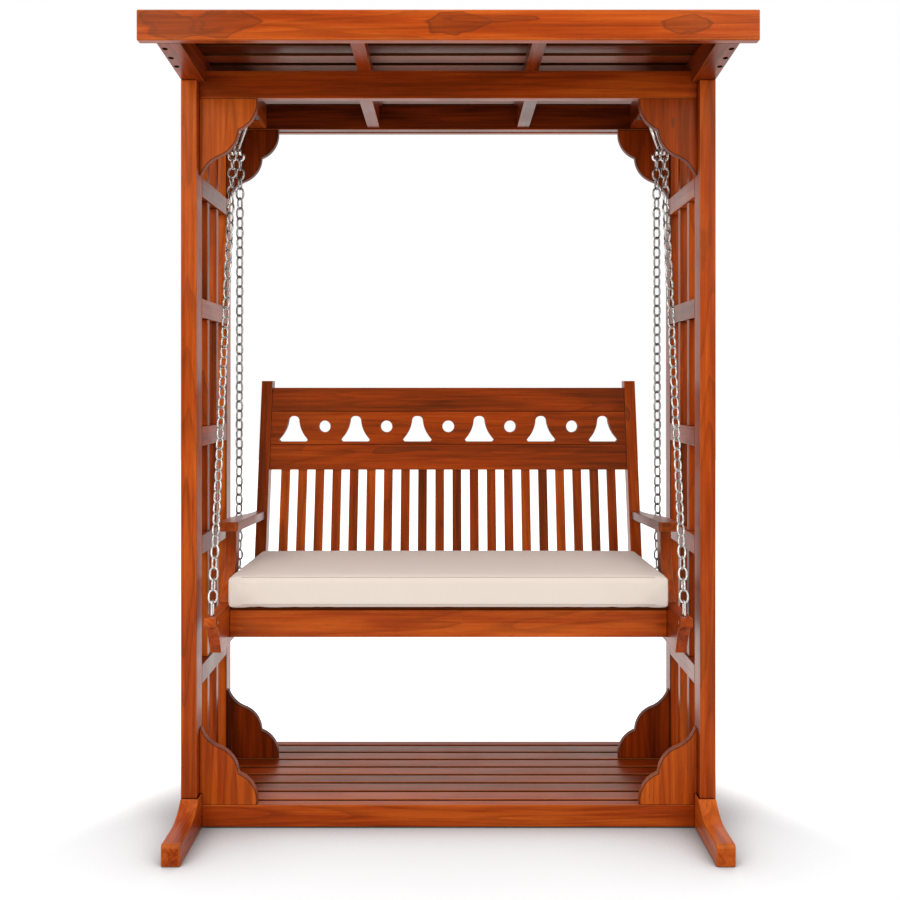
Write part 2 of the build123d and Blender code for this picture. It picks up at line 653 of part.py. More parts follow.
def armrest():
    """Arm board: rises to the front and narrows to the leg's width at the back."""
    back_y = back_face(ARM_BACK_TOP - ARM_T) - ARM_PLAY
    front, outer = ARM_FRONT_Y, BENCH_BEAM_OUT
    small, large = ARM_CORNER_IN, ARM_CORNER_OUT
    end = back_y + 20
    outline = [
        Line((ARM_IN, front + small, 0), (ARM_IN + small, front, 0)),
        Line((ARM_IN + small, front, 0), (outer - large, front, 0)),
        Line((outer - large, front, 0), (outer, front + large, 0)),
        Line((outer, front + large, 0), (outer, ARM_WAIST_Y, 0)),
        Spline((outer, ARM_WAIST_Y, 0), (outer - ARM_HOLLOW[0], ARM_HOLLOW[1], 0), (ARM_BACK_OUT, end, 0),
               tangents=[(0, 1, 0), (0, 1, 0)]),
        Line((ARM_BACK_OUT, end, 0), (ARM_IN, end, 0)),
        Line((ARM_IN, end, 0), (ARM_IN, front + small, 0)),
    ]
    board = extrude(Face(Wire(outline)), 140).moved(Location((0, 0, ARM_BACK_TOP - 70)))
    near, far = front - 5, back_y + 25
    slab = side_profile([(near, arm_top(near)), (far, arm_top(far)), (far, arm_top(far) - ARM_T),
                         (near, arm_top(near) - ARM_T)], ARM_IN - 5, BENCH_BEAM_OUT + 5)
    behind = leaning(ARM_IN - 5, BENCH_BEAM_OUT + 5, ARM_BACK_TOP - 90, ARM_BACK_TOP + 60, 0, 90)
    return (board & slab) - behind


def arm_support():
    """Curved support from the side beam up to the armrest."""
    low, bow = BENCH_BEAM_HIGH, BENCH_BEAM_HIGH + SUPPORT_BOW_H
    low_front, low_back = [(0, y, low) for y in SUPPORT_LOW_Y]
    bow_front, bow_back = [(0, y, bow) for y in SUPPORT_BOW_Y]
    top_front, top_back = [(0, y, arm_top(y) - ARM_T) for y in SUPPORT_TOP_Y]
    edges = [
        Line(low_front, low_back),
        ThreePointArc(low_back, bow_back, top_back),
        Line(top_back, top_front),
        ThreePointArc(top_front, bow_front, low_front),
    ]
    return side_outline(edges, BENCH_BEAM_IN, BENCH_BEAM_OUT)


def seat_rail(y):
    """Cross rail of the seat between the two side beams."""
    return block(-BENCH_BEAM_IN, BENCH_BEAM_IN, y, y + SEAT_RAIL_T, SEAT_RAIL_LOW, SEAT_RAIL_HIGH)


def back_seat_rail():
    """Cross rail behind the seat slats, between the back legs."""
    front = LEG_FOOT_Y - BACK_SEAT_RAIL_STEP
    return block(-LEG_IN, LEG_IN, front, front + SEAT_RAIL_T, SEAT_RAIL_LOW, SEAT_RAIL_HIGH)


def seat_bearers():
    """Front-to-back bearers that carry the seat slats."""
    front = SEAT_FRONT_Y + SEAT_RAIL_T
    back = LEG_FOOT_Y - BACK_SEAT_RAIL_STEP
    half, low = SEAT_BEARER_W / 2, SEAT_RAIL_LOW + SEAT_BEARER_RAISE
    bearers = []
    for x in (-SEAT_BEARER_X, 0.0, SEAT_BEARER_X):
        bearers.append(block(x - half, x + half, front, back, low, SEAT_RAIL_HIGH))
    return bearers


def seat_slats():
    """Slats of the seat under the cushion."""
    front = SEAT_FRONT_Y + 2
    pitch = (LEG_FOOT_Y + 14 - front - SEAT_SLAT_W) / (SEAT_SLATS - 1)
    slats = []
    for n in range(SEAT_SLATS):
        y = front + n * pitch
        half = LEG_IN - 1 if y + SEAT_SLAT_W > LEG_FOOT_Y else BENCH_BEAM_IN - 1
        slats.append(block(-half, half, y, y + SEAT_SLAT_W, SEAT_RAIL_HIGH, SEAT_RAIL_HIGH + SEAT_SLAT_T))
    return slats


def cushion():
    """Box cushion with rounded edges."""
    pad = block(-CUSHION_HALF, CUSHION_HALF, CUSHION_FRONT, CUSHION_BACK, CUSHION_LOW, CUSHION_HIGH)
    pad = chamfer(pad.edges().filter_by(Axis.Z), CUSHION_CORNER)
    return chamfer(pad.faces().filter_by(Axis.Z).edges(), CUSHION_EDGE)


def build():
    """Make every node of the swing."""
    os.makedirs("parts", exist_ok=True)
    sides = {"right": lambda piece: piece, "left": lambda piece: mirror(piece, about=MIRROR)}
    for side, place in sides.items():
        save(f"{side}_foot", place(foot()))
        save(f"{side}_front_post", place(post(FRONT)))
        save(f"{side}_back_post", place(post(BACK - POST_D)))
        save(f"{side}_side_rails", [place(rail) for rail in side_rails()])
        save(f"{side}_side_slats", [place(slat) for slat in side_slats()])
        save(f"{side}_end_rafter", place(end_rafter()))
        save(f"{side}_hanger_beam", place(hanger_beam()))
        save(f"{side}_seat_beam", place(bench_beam()))
        save(f"{side}_back_leg", place(back_leg()))
        save(f"{side}_armrest", place(armrest()))
        save(f"{side}_arm_support", place(arm_support()))
        bend_z = PIVOT_Z - HOOK_DROP - HOOK_R
        pull = Vector(0, PIVOT_Y - FRONT_EYE_Y, bend_z - FRONT_EYE_Z).normalized()
        bend_r = BOLT_R + EYE_PLAY + EYE_WIRE / 2
        front_end = (BENCH_BEAM_IN + BENCH_BEAM_T / 2, FRONT_EYE_Y + bend_r * pull.Y,
                     FRONT_EYE_Z + bend_r * pull.Z)
        back_end = (BACK_EYE_X, BACK_EYE_Y, BACK_EYE_Z + BACK_EYE_R)
        front_chain = chain((PIVOT_X + HOOK_R, PIVOT_Y, bend_z), front_end, True)
        back_chain = chain((PIVOT_X - HOOK_R, PIVOT_Y, bend_z), back_end, False)
        save(f"{side}_front_chain", [place(one) for one in front_chain])
        save(f"{side}_back_chain", [place(one) for one in back_chain])

    front_y = FRONT + MEMBER_SETBACK
    save("front_top_beam", beam(front_y))
    save("back_top_beam", beam(-front_y - BEAM_T))
    save("front_top_brackets", corner_brackets(front_y, BEAM_LOW, False))
    save("back_top_brackets", corner_brackets(-front_y - BRACKET_T, BEAM_LOW, False))
    save("front_bottom_brackets", corner_brackets(front_y, PLATFORM_TOP, True))
    save("back_bottom_brackets", corner_brackets(-front_y - BRACKET_T, PLATFORM_TOP, True))
    save("front_fascia", fascia(-1))
    save("back_fascia", fascia(1))
    save("mid_rafters", mirrored(mid_rafter()))
    save("roof_slats", roof_slats())
    save("roof_panel", roof_panel())
    save("front_platform_rail", platform_rail(front_y))
    save("back_platform_rail", platform_rail(PLATFORM_BACK - PLATFORM_RAIL_T))
    save("platform_slats", platform_slats())
    save("platform_bearers", platform_bearers())

    save("hangers", mirrored(hanger()))
    save("pivot_pins", mirrored(pivot_pin()))
    save("double_hooks", mirrored(double_hook()))
    save("front_chain_eyes", mirrored(front_eye()))
    save("front_cross_bolts", mirrored(front_bolt()))
    save("back_eye_bolts", mirrored(back_eye()))

    save("front_seat_rail", seat_rail(SEAT_FRONT_Y))
    save("back_seat_rail", back_seat_rail())
    save("seat_bearers", seat_bearers())
    save("seat_slats", seat_slats())
    save("back_top_rail", back_rail(PANEL_HIGH, BACK_TOP))
    save("pierced_back_panel", pierced_panel())
    save("back_middle_rail", back_rail(MID_RAIL_LOW, PANEL_LOW))
    save("back_lower_rail", back_rail(LOW_RAIL_LOW, LOW_RAIL_HIGH))
    save("back_slats", back_slats())
    save("cushion", cushion())


if __name__ == "__main__":
    build()
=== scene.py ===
"""Finish of the two-seat jhoola: polished timber, bright chain and a box cushion.

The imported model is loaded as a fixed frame. Every timber gets a copy of its node with eased
edges, the chains and their gear are bent from round wire, and the cushion is blown up as cloth.
Metres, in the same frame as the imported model.
"""

import logging
import math
import random
from dataclasses import dataclass, field
from enum import Enum

import bmesh
import bpy
import numpy as np
from mathutils import Matrix, Vector
from mathutils.bvhtree import BVHTree


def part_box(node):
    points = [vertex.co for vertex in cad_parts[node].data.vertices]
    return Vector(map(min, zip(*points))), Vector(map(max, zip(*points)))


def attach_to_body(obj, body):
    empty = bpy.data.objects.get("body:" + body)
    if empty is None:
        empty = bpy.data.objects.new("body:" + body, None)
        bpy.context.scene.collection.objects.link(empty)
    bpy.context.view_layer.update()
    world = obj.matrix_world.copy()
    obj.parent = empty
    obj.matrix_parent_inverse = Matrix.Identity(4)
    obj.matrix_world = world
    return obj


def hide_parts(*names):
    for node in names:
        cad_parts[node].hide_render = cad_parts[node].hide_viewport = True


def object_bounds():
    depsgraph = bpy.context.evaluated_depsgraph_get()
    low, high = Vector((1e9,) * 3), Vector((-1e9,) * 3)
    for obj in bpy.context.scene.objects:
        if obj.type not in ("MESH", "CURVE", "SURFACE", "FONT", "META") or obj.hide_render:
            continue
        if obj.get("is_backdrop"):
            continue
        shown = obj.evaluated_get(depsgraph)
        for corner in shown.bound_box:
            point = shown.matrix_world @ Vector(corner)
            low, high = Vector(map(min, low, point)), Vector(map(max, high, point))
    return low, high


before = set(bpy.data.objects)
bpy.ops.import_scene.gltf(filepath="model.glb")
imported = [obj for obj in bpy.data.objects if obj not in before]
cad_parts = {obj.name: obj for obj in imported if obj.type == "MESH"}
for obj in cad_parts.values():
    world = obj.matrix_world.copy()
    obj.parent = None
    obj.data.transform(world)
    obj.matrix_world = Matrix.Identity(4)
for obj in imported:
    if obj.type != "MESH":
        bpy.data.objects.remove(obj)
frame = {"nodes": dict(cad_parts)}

LOG = logging.getLogger("jhoola")
SIDES = ("left", "right")
ENDS = ("front", "back")
MM = 0.001
BOARD_MARK = "board"
EDGE_MARK = "edge"

QUARTER_TURN = Matrix.Rotation(math.radians(90.0), 4, "Z")

Colour = tuple[float, float, float, float]


class Body(Enum):
    """The two rigid bodies of the object."""

    FRAME = "frame"
    SWING = "swing"


class Slot(Enum):
    """Material slots of the record."""

    TIMBER = "timber"
    STEEL = "steel"
    FABRIC = "cushion_fabric"


class Grain(Enum):
    """Which way the grain of a timber runs, as a turn that brings it onto Z."""

    UPRIGHT = (0.0, 0.0, 0.0)
    ACROSS = (0.0, -90.0, 0.0)
    DEEP = (90.0, 0.0, 0.0)
    LEANING = (12.27, 0.0, 0.0)


# ---- mesh helpers ------------------------------------------------------------
def link_object(name: str, mesh: bpy.types.Mesh) -> bpy.types.Object:
    """Put a mesh into the scene as a new object.

    Args:
        name: Name of the object.
        mesh: Its finished mesh, with its place in its vertices.

    Returns:
        The new object, at the origin.
    """
    piece = bpy.data.objects.new(name, mesh)
    bpy.context.scene.collection.objects.link(piece)
    return piece


def object_from(name: str, bm: bmesh.types.BMesh) -> bpy.types.Object:
    """Turn a bmesh into an object and free it.

    Args:
        name: Name of the object.
        bm: The finished bmesh.

    Returns:
        The new object.
    """
    mesh = bpy.data.meshes.new(name)
    bm.to_mesh(mesh)
    bm.free()
    return link_object(name, mesh)


def islands(bm: bmesh.types.BMesh) -> list[list[bmesh.types.BMVert]]:
    """Group the vertices of a bmesh into its separate solids.

    Args:
        bm: The bmesh to read.

    Returns:
        One list of vertices for each solid, in the order of their lowest index.
    """
    bm.verts.ensure_lookup_table()
    seen: set[int] = set()
    groups = []
    for start in bm.verts:
        if start.index in seen:
            continue
        group, queue = [], [start]
        seen.add(start.index)
        while queue:
            vert = queue.pop()
            group.append(vert)
            for edge in vert.link_edges:
                other = edge.other_vert(vert)
                if other.index not in seen:
                    seen.add(other.index)
                    queue.append(other)
        groups.append(group)
    return groups


def merged_copy(node: bpy.types.Object) -> bmesh.types.BMesh:
    """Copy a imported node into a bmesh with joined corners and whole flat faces.

    Args:
        node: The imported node, a mesh of loose triangles.

    Returns:
        The bmesh, in the frame's metres.
    """
    bm = bmesh.new()
    bm.from_mesh(node.data)
    bmesh.ops.remove_doubles(bm, verts=bm.verts, dist=0.00001)
    bmesh.ops.dissolve_limit(bm, angle_limit=math.radians(0.6), verts=bm.verts, edges=bm.edges)
    bm.verts.index_update()
    return bm


def corners_of(verts: list[bmesh.types.BMVert]) -> tuple[Vector, Vector]:
    """Find the box round some vertices.

    Args:
        verts: The vertices.

    Returns:
        Its lowest and highest corners.
    """
    low = Vector(tuple(min(vert.co[axis] for vert in verts) for axis in range(3)))
    high = Vector(tuple(max(vert.co[axis] for vert in verts) for axis in range(3)))
    return low, high


def tube_round(path: list[Vector], radius: float, sides: int) -> bmesh.types.BMesh:
    """Sweep a closed loop of points into a thin round tube.

    Args:
        path: The points of the loop.
        radius: Radius of the tube.
        sides: Corners of its section.

    Returns:
        The bmesh of the tube.
    """
    curve = bpy.data.curves.new("loop", "CURVE")
    curve.dimensions = "3D"
    curve.bevel_depth = radius
    curve.bevel_resolution = max(0, sides // 2 - 2)
    spline = curve.splines.new("POLY")
    spline.points.add(len(path) - 1)
    for point, spot in zip(spline.points, path):
        point.co = (*spot, 1.0)
    spline.use_cyclic_u = True
    holder = bpy.data.objects.new("loop", curve)
    bpy.context.scene.collection.objects.link(holder)
    graph = bpy.context.evaluated_depsgraph_get()
    graph.update()
    mesh = bpy.data.meshes.new_from_object(holder.evaluated_get(graph))
    bm = bmesh.new()
    bm.from_mesh(mesh)
    bmesh.ops.recalc_face_normals(bm, faces=bm.faces)
    bpy.data.objects.remove(holder)
    bpy.data.curves.remove(curve)
    bpy.data.meshes.remove(mesh)
    return bm


def outside_corners(bm: bmesh.types.BMesh, angle: float = 30.0) -> list[bmesh.types.BMEdge]:
    """Pick the edges of a bmesh that stand out as corners.

    Args:
        bm: The bmesh to read.
        angle: How many degrees such an edge turns through at least.

    Returns:
        The edges.
    """
    return [edge for edge in bm.edges if len(edge.link_faces) == 2 and edge.is_convex
            and edge.calc_face_angle(0.0) > math.radians(angle)]


def round_edges(bm: bmesh.types.BMesh, edges: list[bmesh.types.BMEdge], width: float, steps: int,
                clamp: bool = False) -> list[bmesh.types.BMFace]:
    """Round some edges of a bmesh.

    Args:
        bm: The bmesh to change.
        edges: The edges.
        width: Width of the rounding.
        steps: Its segments.
        clamp: Whether it stops where it would run into another one.

    Returns:
        The faces of the rounding.
    """
    made = bmesh.ops.bevel(bm, geom=edges, offset=width, offset_type="OFFSET", affect="EDGES",
                           segments=steps, profile=0.5, clamp_overlap=clamp, material=-1)
    return made["faces"]


def rounded_shading(mesh: bpy.types.Mesh, angle: float = 50.0) -> None:
    """Shade a mesh smooth, with its real corners kept sharp.

    Args:
        mesh: The mesh to shade.
        angle: Corners sharper than this many degrees stay sharp.
    """
    mesh.polygons.foreach_set("use_smooth", [True] * len(mesh.polygons))
    mesh.set_sharp_from_angle(angle=math.radians(angle))


def even_shading(piece: bpy.types.Object) -> None:
    """Let the flat faces of a piece stay flat beside its rounded edges.

    Args:
        piece: The piece, with eased edges.
    """
    rounded_shading(piece.data)
    piece.modifiers.new("even_shading", "WEIGHTED_NORMAL").keep_sharp = True


def attach(piece: bpy.types.Object, body: Body, material: bpy.types.Material) -> None:
    """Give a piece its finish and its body.

    Args:
        piece: The finished piece.
        body: The body it moves with.
        material: Its finish.
    """
    piece.data.materials.clear()
    piece.data.materials.append(material)
    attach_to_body(piece, body.value)


# ---- shader helpers ----------------------------------------------------------
class NodeSheet:
    """A short way to lay out one shader tree or node group."""

    def __init__(self, tree: bpy.types.NodeTree) -> None:
        """Start on an empty tree.

        Args:
            tree: The tree to fill.
        """
        self.tree = tree
        tree.nodes.clear()

    def add(self, kind: str, **settings: object) -> bpy.types.Node:
        """Add a node.

        Args:
            kind: Type name of the node.
            **settings: Properties to set on it.

        Returns:
            The node.
        """
        node = self.tree.nodes.new(kind)
        for name, value in settings.items():
            setattr(node, name, value)
        return node

    def put(self, source: object, target: bpy.types.NodeSocket) -> None:
        """Join a socket to another, or set a plain value on it.

        Args:
            source: An output socket or a value.
            target: The input socket.
        """
        if isinstance(source, bpy.types.NodeSocket):
            self.tree.links.new(source, target)
        else:
            target.default_value = source

    def math(self, operation: str, a: object, b: object = 0.0) -> bpy.types.NodeSocket:
        """Combine two values.

        Args:
            operation: Name of the operation.
            a: First value or socket.
            b: Second value or socket.

        Returns:
            The result.
        """
        node = self.add("ShaderNodeMath", operation=operation)
        self.put(a, node.inputs[0])
        self.put(b, node.inputs[1])
        return node.outputs[0]

    def times(self, value: object, *factors: object) -> bpy.types.NodeSocket:
        """Multiply a value by one or more others.

        Args:
            value: The value or socket.
            *factors: What it is multiplied by, in turn.

        Returns:
            The product.
        """
        for factor in factors:
            value = self.math("MULTIPLY", value, factor)
        return value

    def vector(self, operation: str, a: object, b: object) -> bpy.types.NodeSocket:
        """Combine two vectors.

        Args:
            operation: Name of the operation.
            a: First vector or socket.
            b: Second vector or socket.

        Returns:
            The result.
        """
        node = self.add("ShaderNodeVectorMath", operation=operation)
        self.put(a, node.inputs[0])
        self.put(b, node.inputs[1])
        return node.outputs["Vector"]

    def length(self, vector: object) -> bpy.types.NodeSocket:
        """Measure a vector.

        Args:
            vector: The vector or socket.

        Returns:
            Its length.
        """
        node = self.add("ShaderNodeVectorMath", operation="LENGTH")
        self.put(vector, node.inputs[0])
        return node.outputs["Value"]

    def place(self) -> bpy.types.NodeSocket:
        """Give the place that is shaded, in metres."""
        return self.add("ShaderNodeTexCoord").outputs["Object"]

    def mark(self, name: str) -> bpy.types.NodeSocket:
        """Read a number that is stored on the mesh, by its name."""
        return self.add("ShaderNodeAttribute", attribute_name=name).outputs["Fac"]

    def blend(self, factor: object, a: object, b: object) -> bpy.types.NodeSocket:
        """Mix two colours.

        Args:
            factor: How much of the second colour.
            a: First colour or socket.
            b: Second colour or socket.

        Returns:
            The mixed colour.
        """
        node = self.add("ShaderNodeMix", data_type="RGBA", blend_type="MIX")
        self.put(factor, node.inputs[0])
        self.put(a, node.inputs[6])
        self.put(b, node.inputs[7])
        return node.outputs[2]

    def ramp(self, value: object, low: float, high: float, to: tuple[float, float] = (0.0, 1.0),
             smooth: bool = True) -> bpy.types.NodeSocket:
        """Map a range of a value onto another range.

        Args:
            value: The value to map.
            low: Start of its range.
            high: End of its range.
            to: The range to map onto.
            smooth: Whether both ends ease in and out.

        Returns:
            The mapped value.
        """
        kind = "SMOOTHSTEP" if smooth else "LINEAR"
        node = self.add("ShaderNodeMapRange", interpolation_type=kind)
        for source, socket in zip((value, low, high, to[0], to[1]), node.inputs[:5]):
            self.put(source, socket)
        return node.outputs[0]

    def noise(self, vector: object, scale: object, detail: float = 3.0, rough: float = 0.5,
              distortion: float = 0.0) -> bpy.types.NodeSocket:
        """Add a noise texture.

        Args:
            vector: Where it is read.
            scale: Size of the pattern.
            detail: Layers of detail.
            rough: Strength of the finer layers.
            distortion: How much it is bent.

        Returns:
            The noise value.
        """
        node = self.add("ShaderNodeTexNoise")
        self.put(vector, node.inputs["Vector"])
        self.put(scale, node.inputs["Scale"])
        node.inputs["Detail"].default_value = detail
        node.inputs["Roughness"].default_value = rough
        node.inputs["Distortion"].default_value = distortion
        return node.outputs["Fac"]

    def stretch(self, vector: object, scale: tuple[float, float, float]) -> bpy.types.NodeSocket:
        """Scale a coordinate along its three axes.

        Args:
            vector: The coordinate.
            scale: The three factors.

        Returns:
            The scaled coordinate.
        """
        return self.vector("MULTIPLY", vector, scale)

    def grain_noise(self, vector: object, across: float, along: float, detail: float, rough: float,
                    distortion: float = 0.0) -> bpy.types.NodeSocket:
        """Add noise that is drawn out along Z, as timber and brushed steel are.

        Args:
            vector: Where it is read.
            across: Its fineness across Z.
            along: Its fineness along Z.
            detail: Layers of detail.
            rough: Strength of the finer layers.
            distortion: How much it is bent.

        Returns:
            The noise value.
        """
        drawn = self.stretch(vector, (across, across, along))
        return self.noise(drawn, 1.0, detail, rough, distortion)

    def outlined(self, depth: object, line: float) -> bpy.types.NodeSocket:
        """Mask a stain that is faint inside and dark along its outline.

        Args:
            depth: How far inside the stain a point is, below zero outside it.
            line: Width of the outline, in the same measure.

        Returns:
            The mask.
        """
        inside = self.ramp(depth, 0.0, line * 0.5, (0.0, 0.46))
        rim = self.ramp(self.math("ABSOLUTE", depth), line * 0.25, line, (0.74, 0.0))
        return self.math("MAXIMUM", inside, rim)

    def backdrop_rays(self) -> bpy.types.NodeSocket:
        """Tell the rays that show the white background from those that light the object.

        Returns:
            One for rays from the camera, off gloss or through glass, and otherwise zero.
        """
        path = self.add("ShaderNodeLightPath").outputs
        seen = self.math("MAXIMUM", path["Is Camera Ray"], path["Is Glossy Ray"])
        return self.math("MAXIMUM", seen, path["Is Transmission Ray"])

    def group(self, name: str, **values: object) -> bpy.types.bpy_prop_collection:
        """Place a group in the tree with its own values.

        Args:
            name: Name of the group.
            **values: Value or socket for each input, with spaces in its name as underscores.

        Returns:
            The group's outputs.
        """
        node = self.add("ShaderNodeGroup")
        node.node_tree = bpy.data.node_groups[name]
        for title, value in values.items():
            self.put(value, node.inputs[title.replace("_", " ")])
        return node.outputs

    def bump(self, height: object, strength: float, distance: float,
             normal: object = None) -> bpy.types.NodeSocket:
        """Turn a height into a normal.

        Args:
            height: The height value.
            strength: How much of it shows.
            distance: Its depth in metres.
            normal: A normal to build on, if any.

        Returns:
            The bumped normal.
        """
        node = self.add("ShaderNodeBump")
        node.inputs["Strength"].default_value = strength
        node.inputs["Distance"].default_value = distance
        self.put(height, node.inputs["Height"])
        if normal is not None:
            self.put(normal, node.inputs["Normal"])
        return node.outputs["Normal"]


def new_group(name: str, takes: dict[str, float | None], gives: tuple[str, ...]
              ) -> tuple[NodeSheet, bpy.types.bpy_prop_collection, bpy.types.bpy_prop_collection]:
    """Start a shader node group with named sockets.

    Args:
        name: Name of the group.
        takes: The default of each input, or None where it is a vector.
        gives: Names of the outputs, which are all values.

    Returns:
        A sheet on the group's tree, the values that come in and the sockets that go out.
    """
    group = bpy.data.node_groups.new(name, "ShaderNodeTree")
    for title, value in takes.items():
        kind = "NodeSocketVector" if value is None else "NodeSocketFloat"
        socket = group.interface.new_socket(title, in_out="INPUT", socket_type=kind)
        if value is not None:
            socket.default_value = value
    for title in gives:
        group.interface.new_socket(title, in_out="OUTPUT", socket_type="NodeSocketFloat")
    sheet = NodeSheet(group)
    return sheet, sheet.add("NodeGroupInput").outputs, sheet.add("NodeGroupOutput").inputs


def material_sheet(name: str) -> tuple[bpy.types.Material, NodeSheet, bpy.types.Node]:
    """Start a material with one Principled shader.

    Args:
        name: Name of the material.

    Returns:
        The material, a sheet on its tree and the shader node.
    """
    material = bpy.data.materials.new(name)
    material.use_nodes = True
    sheet = NodeSheet(material.node_tree)
    shader = sheet.add("ShaderNodeBsdfPrincipled")
    output = sheet.add("ShaderNodeOutputMaterial")
    sheet.put(shader.outputs[0], output.inputs["Surface"])
    return material, sheet, shader


# ---- shared effects ----------------------------------------------------------
def make_timber_group() -> None:
    """Build the figure of polished hardwood: flowing rings, fibres, pores and dark heartwood."""
    takes = {"Vector": None, "Board": 0.0, "Heart": 0.3, "Ring Count": 9.0}
    gives = ("Tone", "Line", "Heart", "Knot", "Fibre", "Streak", "Pore")
    sheet, inputs, outputs = new_group("timber_figure", takes, gives)
    boards_apart = (7.3, 4.1, 11.9)
    board = sheet.add("ShaderNodeCombineXYZ")
    for socket in board.inputs:
        sheet.put(inputs["Board"], socket)
    shift = sheet.stretch(board.outputs[0], boards_apart)
    at = sheet.vector("ADD", inputs["Vector"], shift)

    tone = sheet.grain_noise(at, 15.0, 1.9, 3.0, 0.55, 0.4)
    sheet.put(sheet.ramp(tone, 0.3, 0.7), outputs["Tone"])
    rings = sheet.grain_noise(at, 17.0, 1.2, 1.5, 0.4, 0.35)
    ring = sheet.math("FRACT", sheet.times(rings, inputs["Ring Count"]))
    late = sheet.ramp(ring, 0.45, 0.97)
    early = sheet.ramp(ring, 0.97, 1.0, (1.0, 0.0))
    sheet.put(sheet.times(late, early), outputs["Line"])
    heart = sheet.grain_noise(at, 13.0, 2.4, 2.0, 0.45, 0.5)
    heart_edge = sheet.math("SUBTRACT", 0.80, sheet.times(inputs["Heart"], 0.28))
    sheet.put(sheet.outlined(sheet.math("SUBTRACT", heart, heart_edge), 0.012), outputs["Heart"])
    sheet.put(knot_mask(sheet, at), outputs["Knot"])
    sheet.put(sheet.grain_noise(at, 330.0, 7.0, 3.0, 0.6), outputs["Fibre"])
    sheet.put(sheet.grain_noise(at, 105.0, 3.4, 3.0, 0.55, 0.2), outputs["Streak"])
    pore = sheet.grain_noise(at, 900.0, 42.0, 1.0, 0.5)
    sheet.put(sheet.ramp(pore, 0.62, 0.72), outputs["Pore"])


def knot_mask(sheet: NodeSheet, at: bpy.types.NodeSocket) -> bpy.types.NodeSocket:
    """Scatter a few small knots through the timber.

    Args:
        sheet: The sheet of the timber's figure.
        at: Where it is read.

    Returns:
        The mask of the knots.
    """
    cells = sheet.add("ShaderNodeTexVoronoi", distance="EUCLIDEAN")
    sheet.put(sheet.stretch(at, (6.5, 6.5, 3.2)), cells.inputs["Vector"])
    cells.inputs["Scale"].default_value = 1.0
    chance = sheet.add("ShaderNodeSeparateColor")
    sheet.put(cells.outputs["Color"], chance.inputs[0])
    wobble = sheet.times(sheet.noise(at, 60.0, 2.0), 0.05)
    near = sheet.math("ADD", cells.outputs["Distance"], wobble)
    spot = sheet.ramp(near, 0.045, 0.075, (1.0, 0.0))
    rare = sheet.ramp(chance.outputs[0], 0.80, 0.81)
    return sheet.times(spot, rare)


def make_wear_group() -> None:
    """Build the rubbed look of an eased edge, patchy along its length."""
    takes = {"Vector": None, "Edge": 0.0, "Amount": 0.5}
    sheet, inputs, outputs = new_group("edge_wear", takes, ("Wear",))
    patch = sheet.ramp(sheet.noise(inputs["Vector"], 26.0, 3.0, 0.6), 0.25, 0.75, (0.35, 1.0))
    sheet.put(sheet.times(inputs["Edge"], patch, inputs["Amount"]), outputs["Wear"])


def make_smudge_group() -> None:
    """Build the faint cloudiness that handling and dust leave on a surface."""
    sheet, inputs, outputs = new_group("smudge", {"Vector": None, "Scale": 8.0}, ("Cloud",))
    cloud = sheet.noise(inputs["Vector"], inputs["Scale"], 4.0, 0.6, 0.4)
    sheet.put(sheet.ramp(cloud, 0.3, 0.75), outputs["Cloud"])


def make_weave_group() -> None:
    """Build a plain weave with uneven threads, read along all three axes."""
    takes = {"Vector": None, "Thread": 1.4 * MM}
    sheet, inputs, outputs = new_group("plain_weave", takes, ("Height", "Slub"))
    axes = sheet.add("ShaderNodeSeparateXYZ")
    sheet.put(inputs["Vector"], axes.inputs[0])
    turns = sheet.math("DIVIDE", math.pi, inputs["Thread"])
    across, up, deep = [sheet.math("SINE", sheet.times(axis, turns)) for axis in axes.outputs]
    crossing = sheet.times(across, sheet.math("ADD", up, deep), 0.5)
    sheet.put(sheet.math("ADD", crossing, 0.5), outputs["Height"])
    warp = sheet.noise(sheet.stretch(inputs["Vector"], (640.0, 26.0, 26.0)), 1.0, 2.0)
    weft = sheet.noise(sheet.stretch(inputs["Vector"], (26.0, 640.0, 640.0)), 1.0, 2.0)
    sheet.put(sheet.times(sheet.math("ADD", warp, weft), 0.5), outputs["Slub"])


# ---- finishes ----------------------------------------------------------------
@dataclass(frozen=True)
class Stain:
    """One dark-rimmed heartwood stain on the front edge board, by its middle and half sizes."""

    x: float
    z: float
    half_x: float
    half_z: float


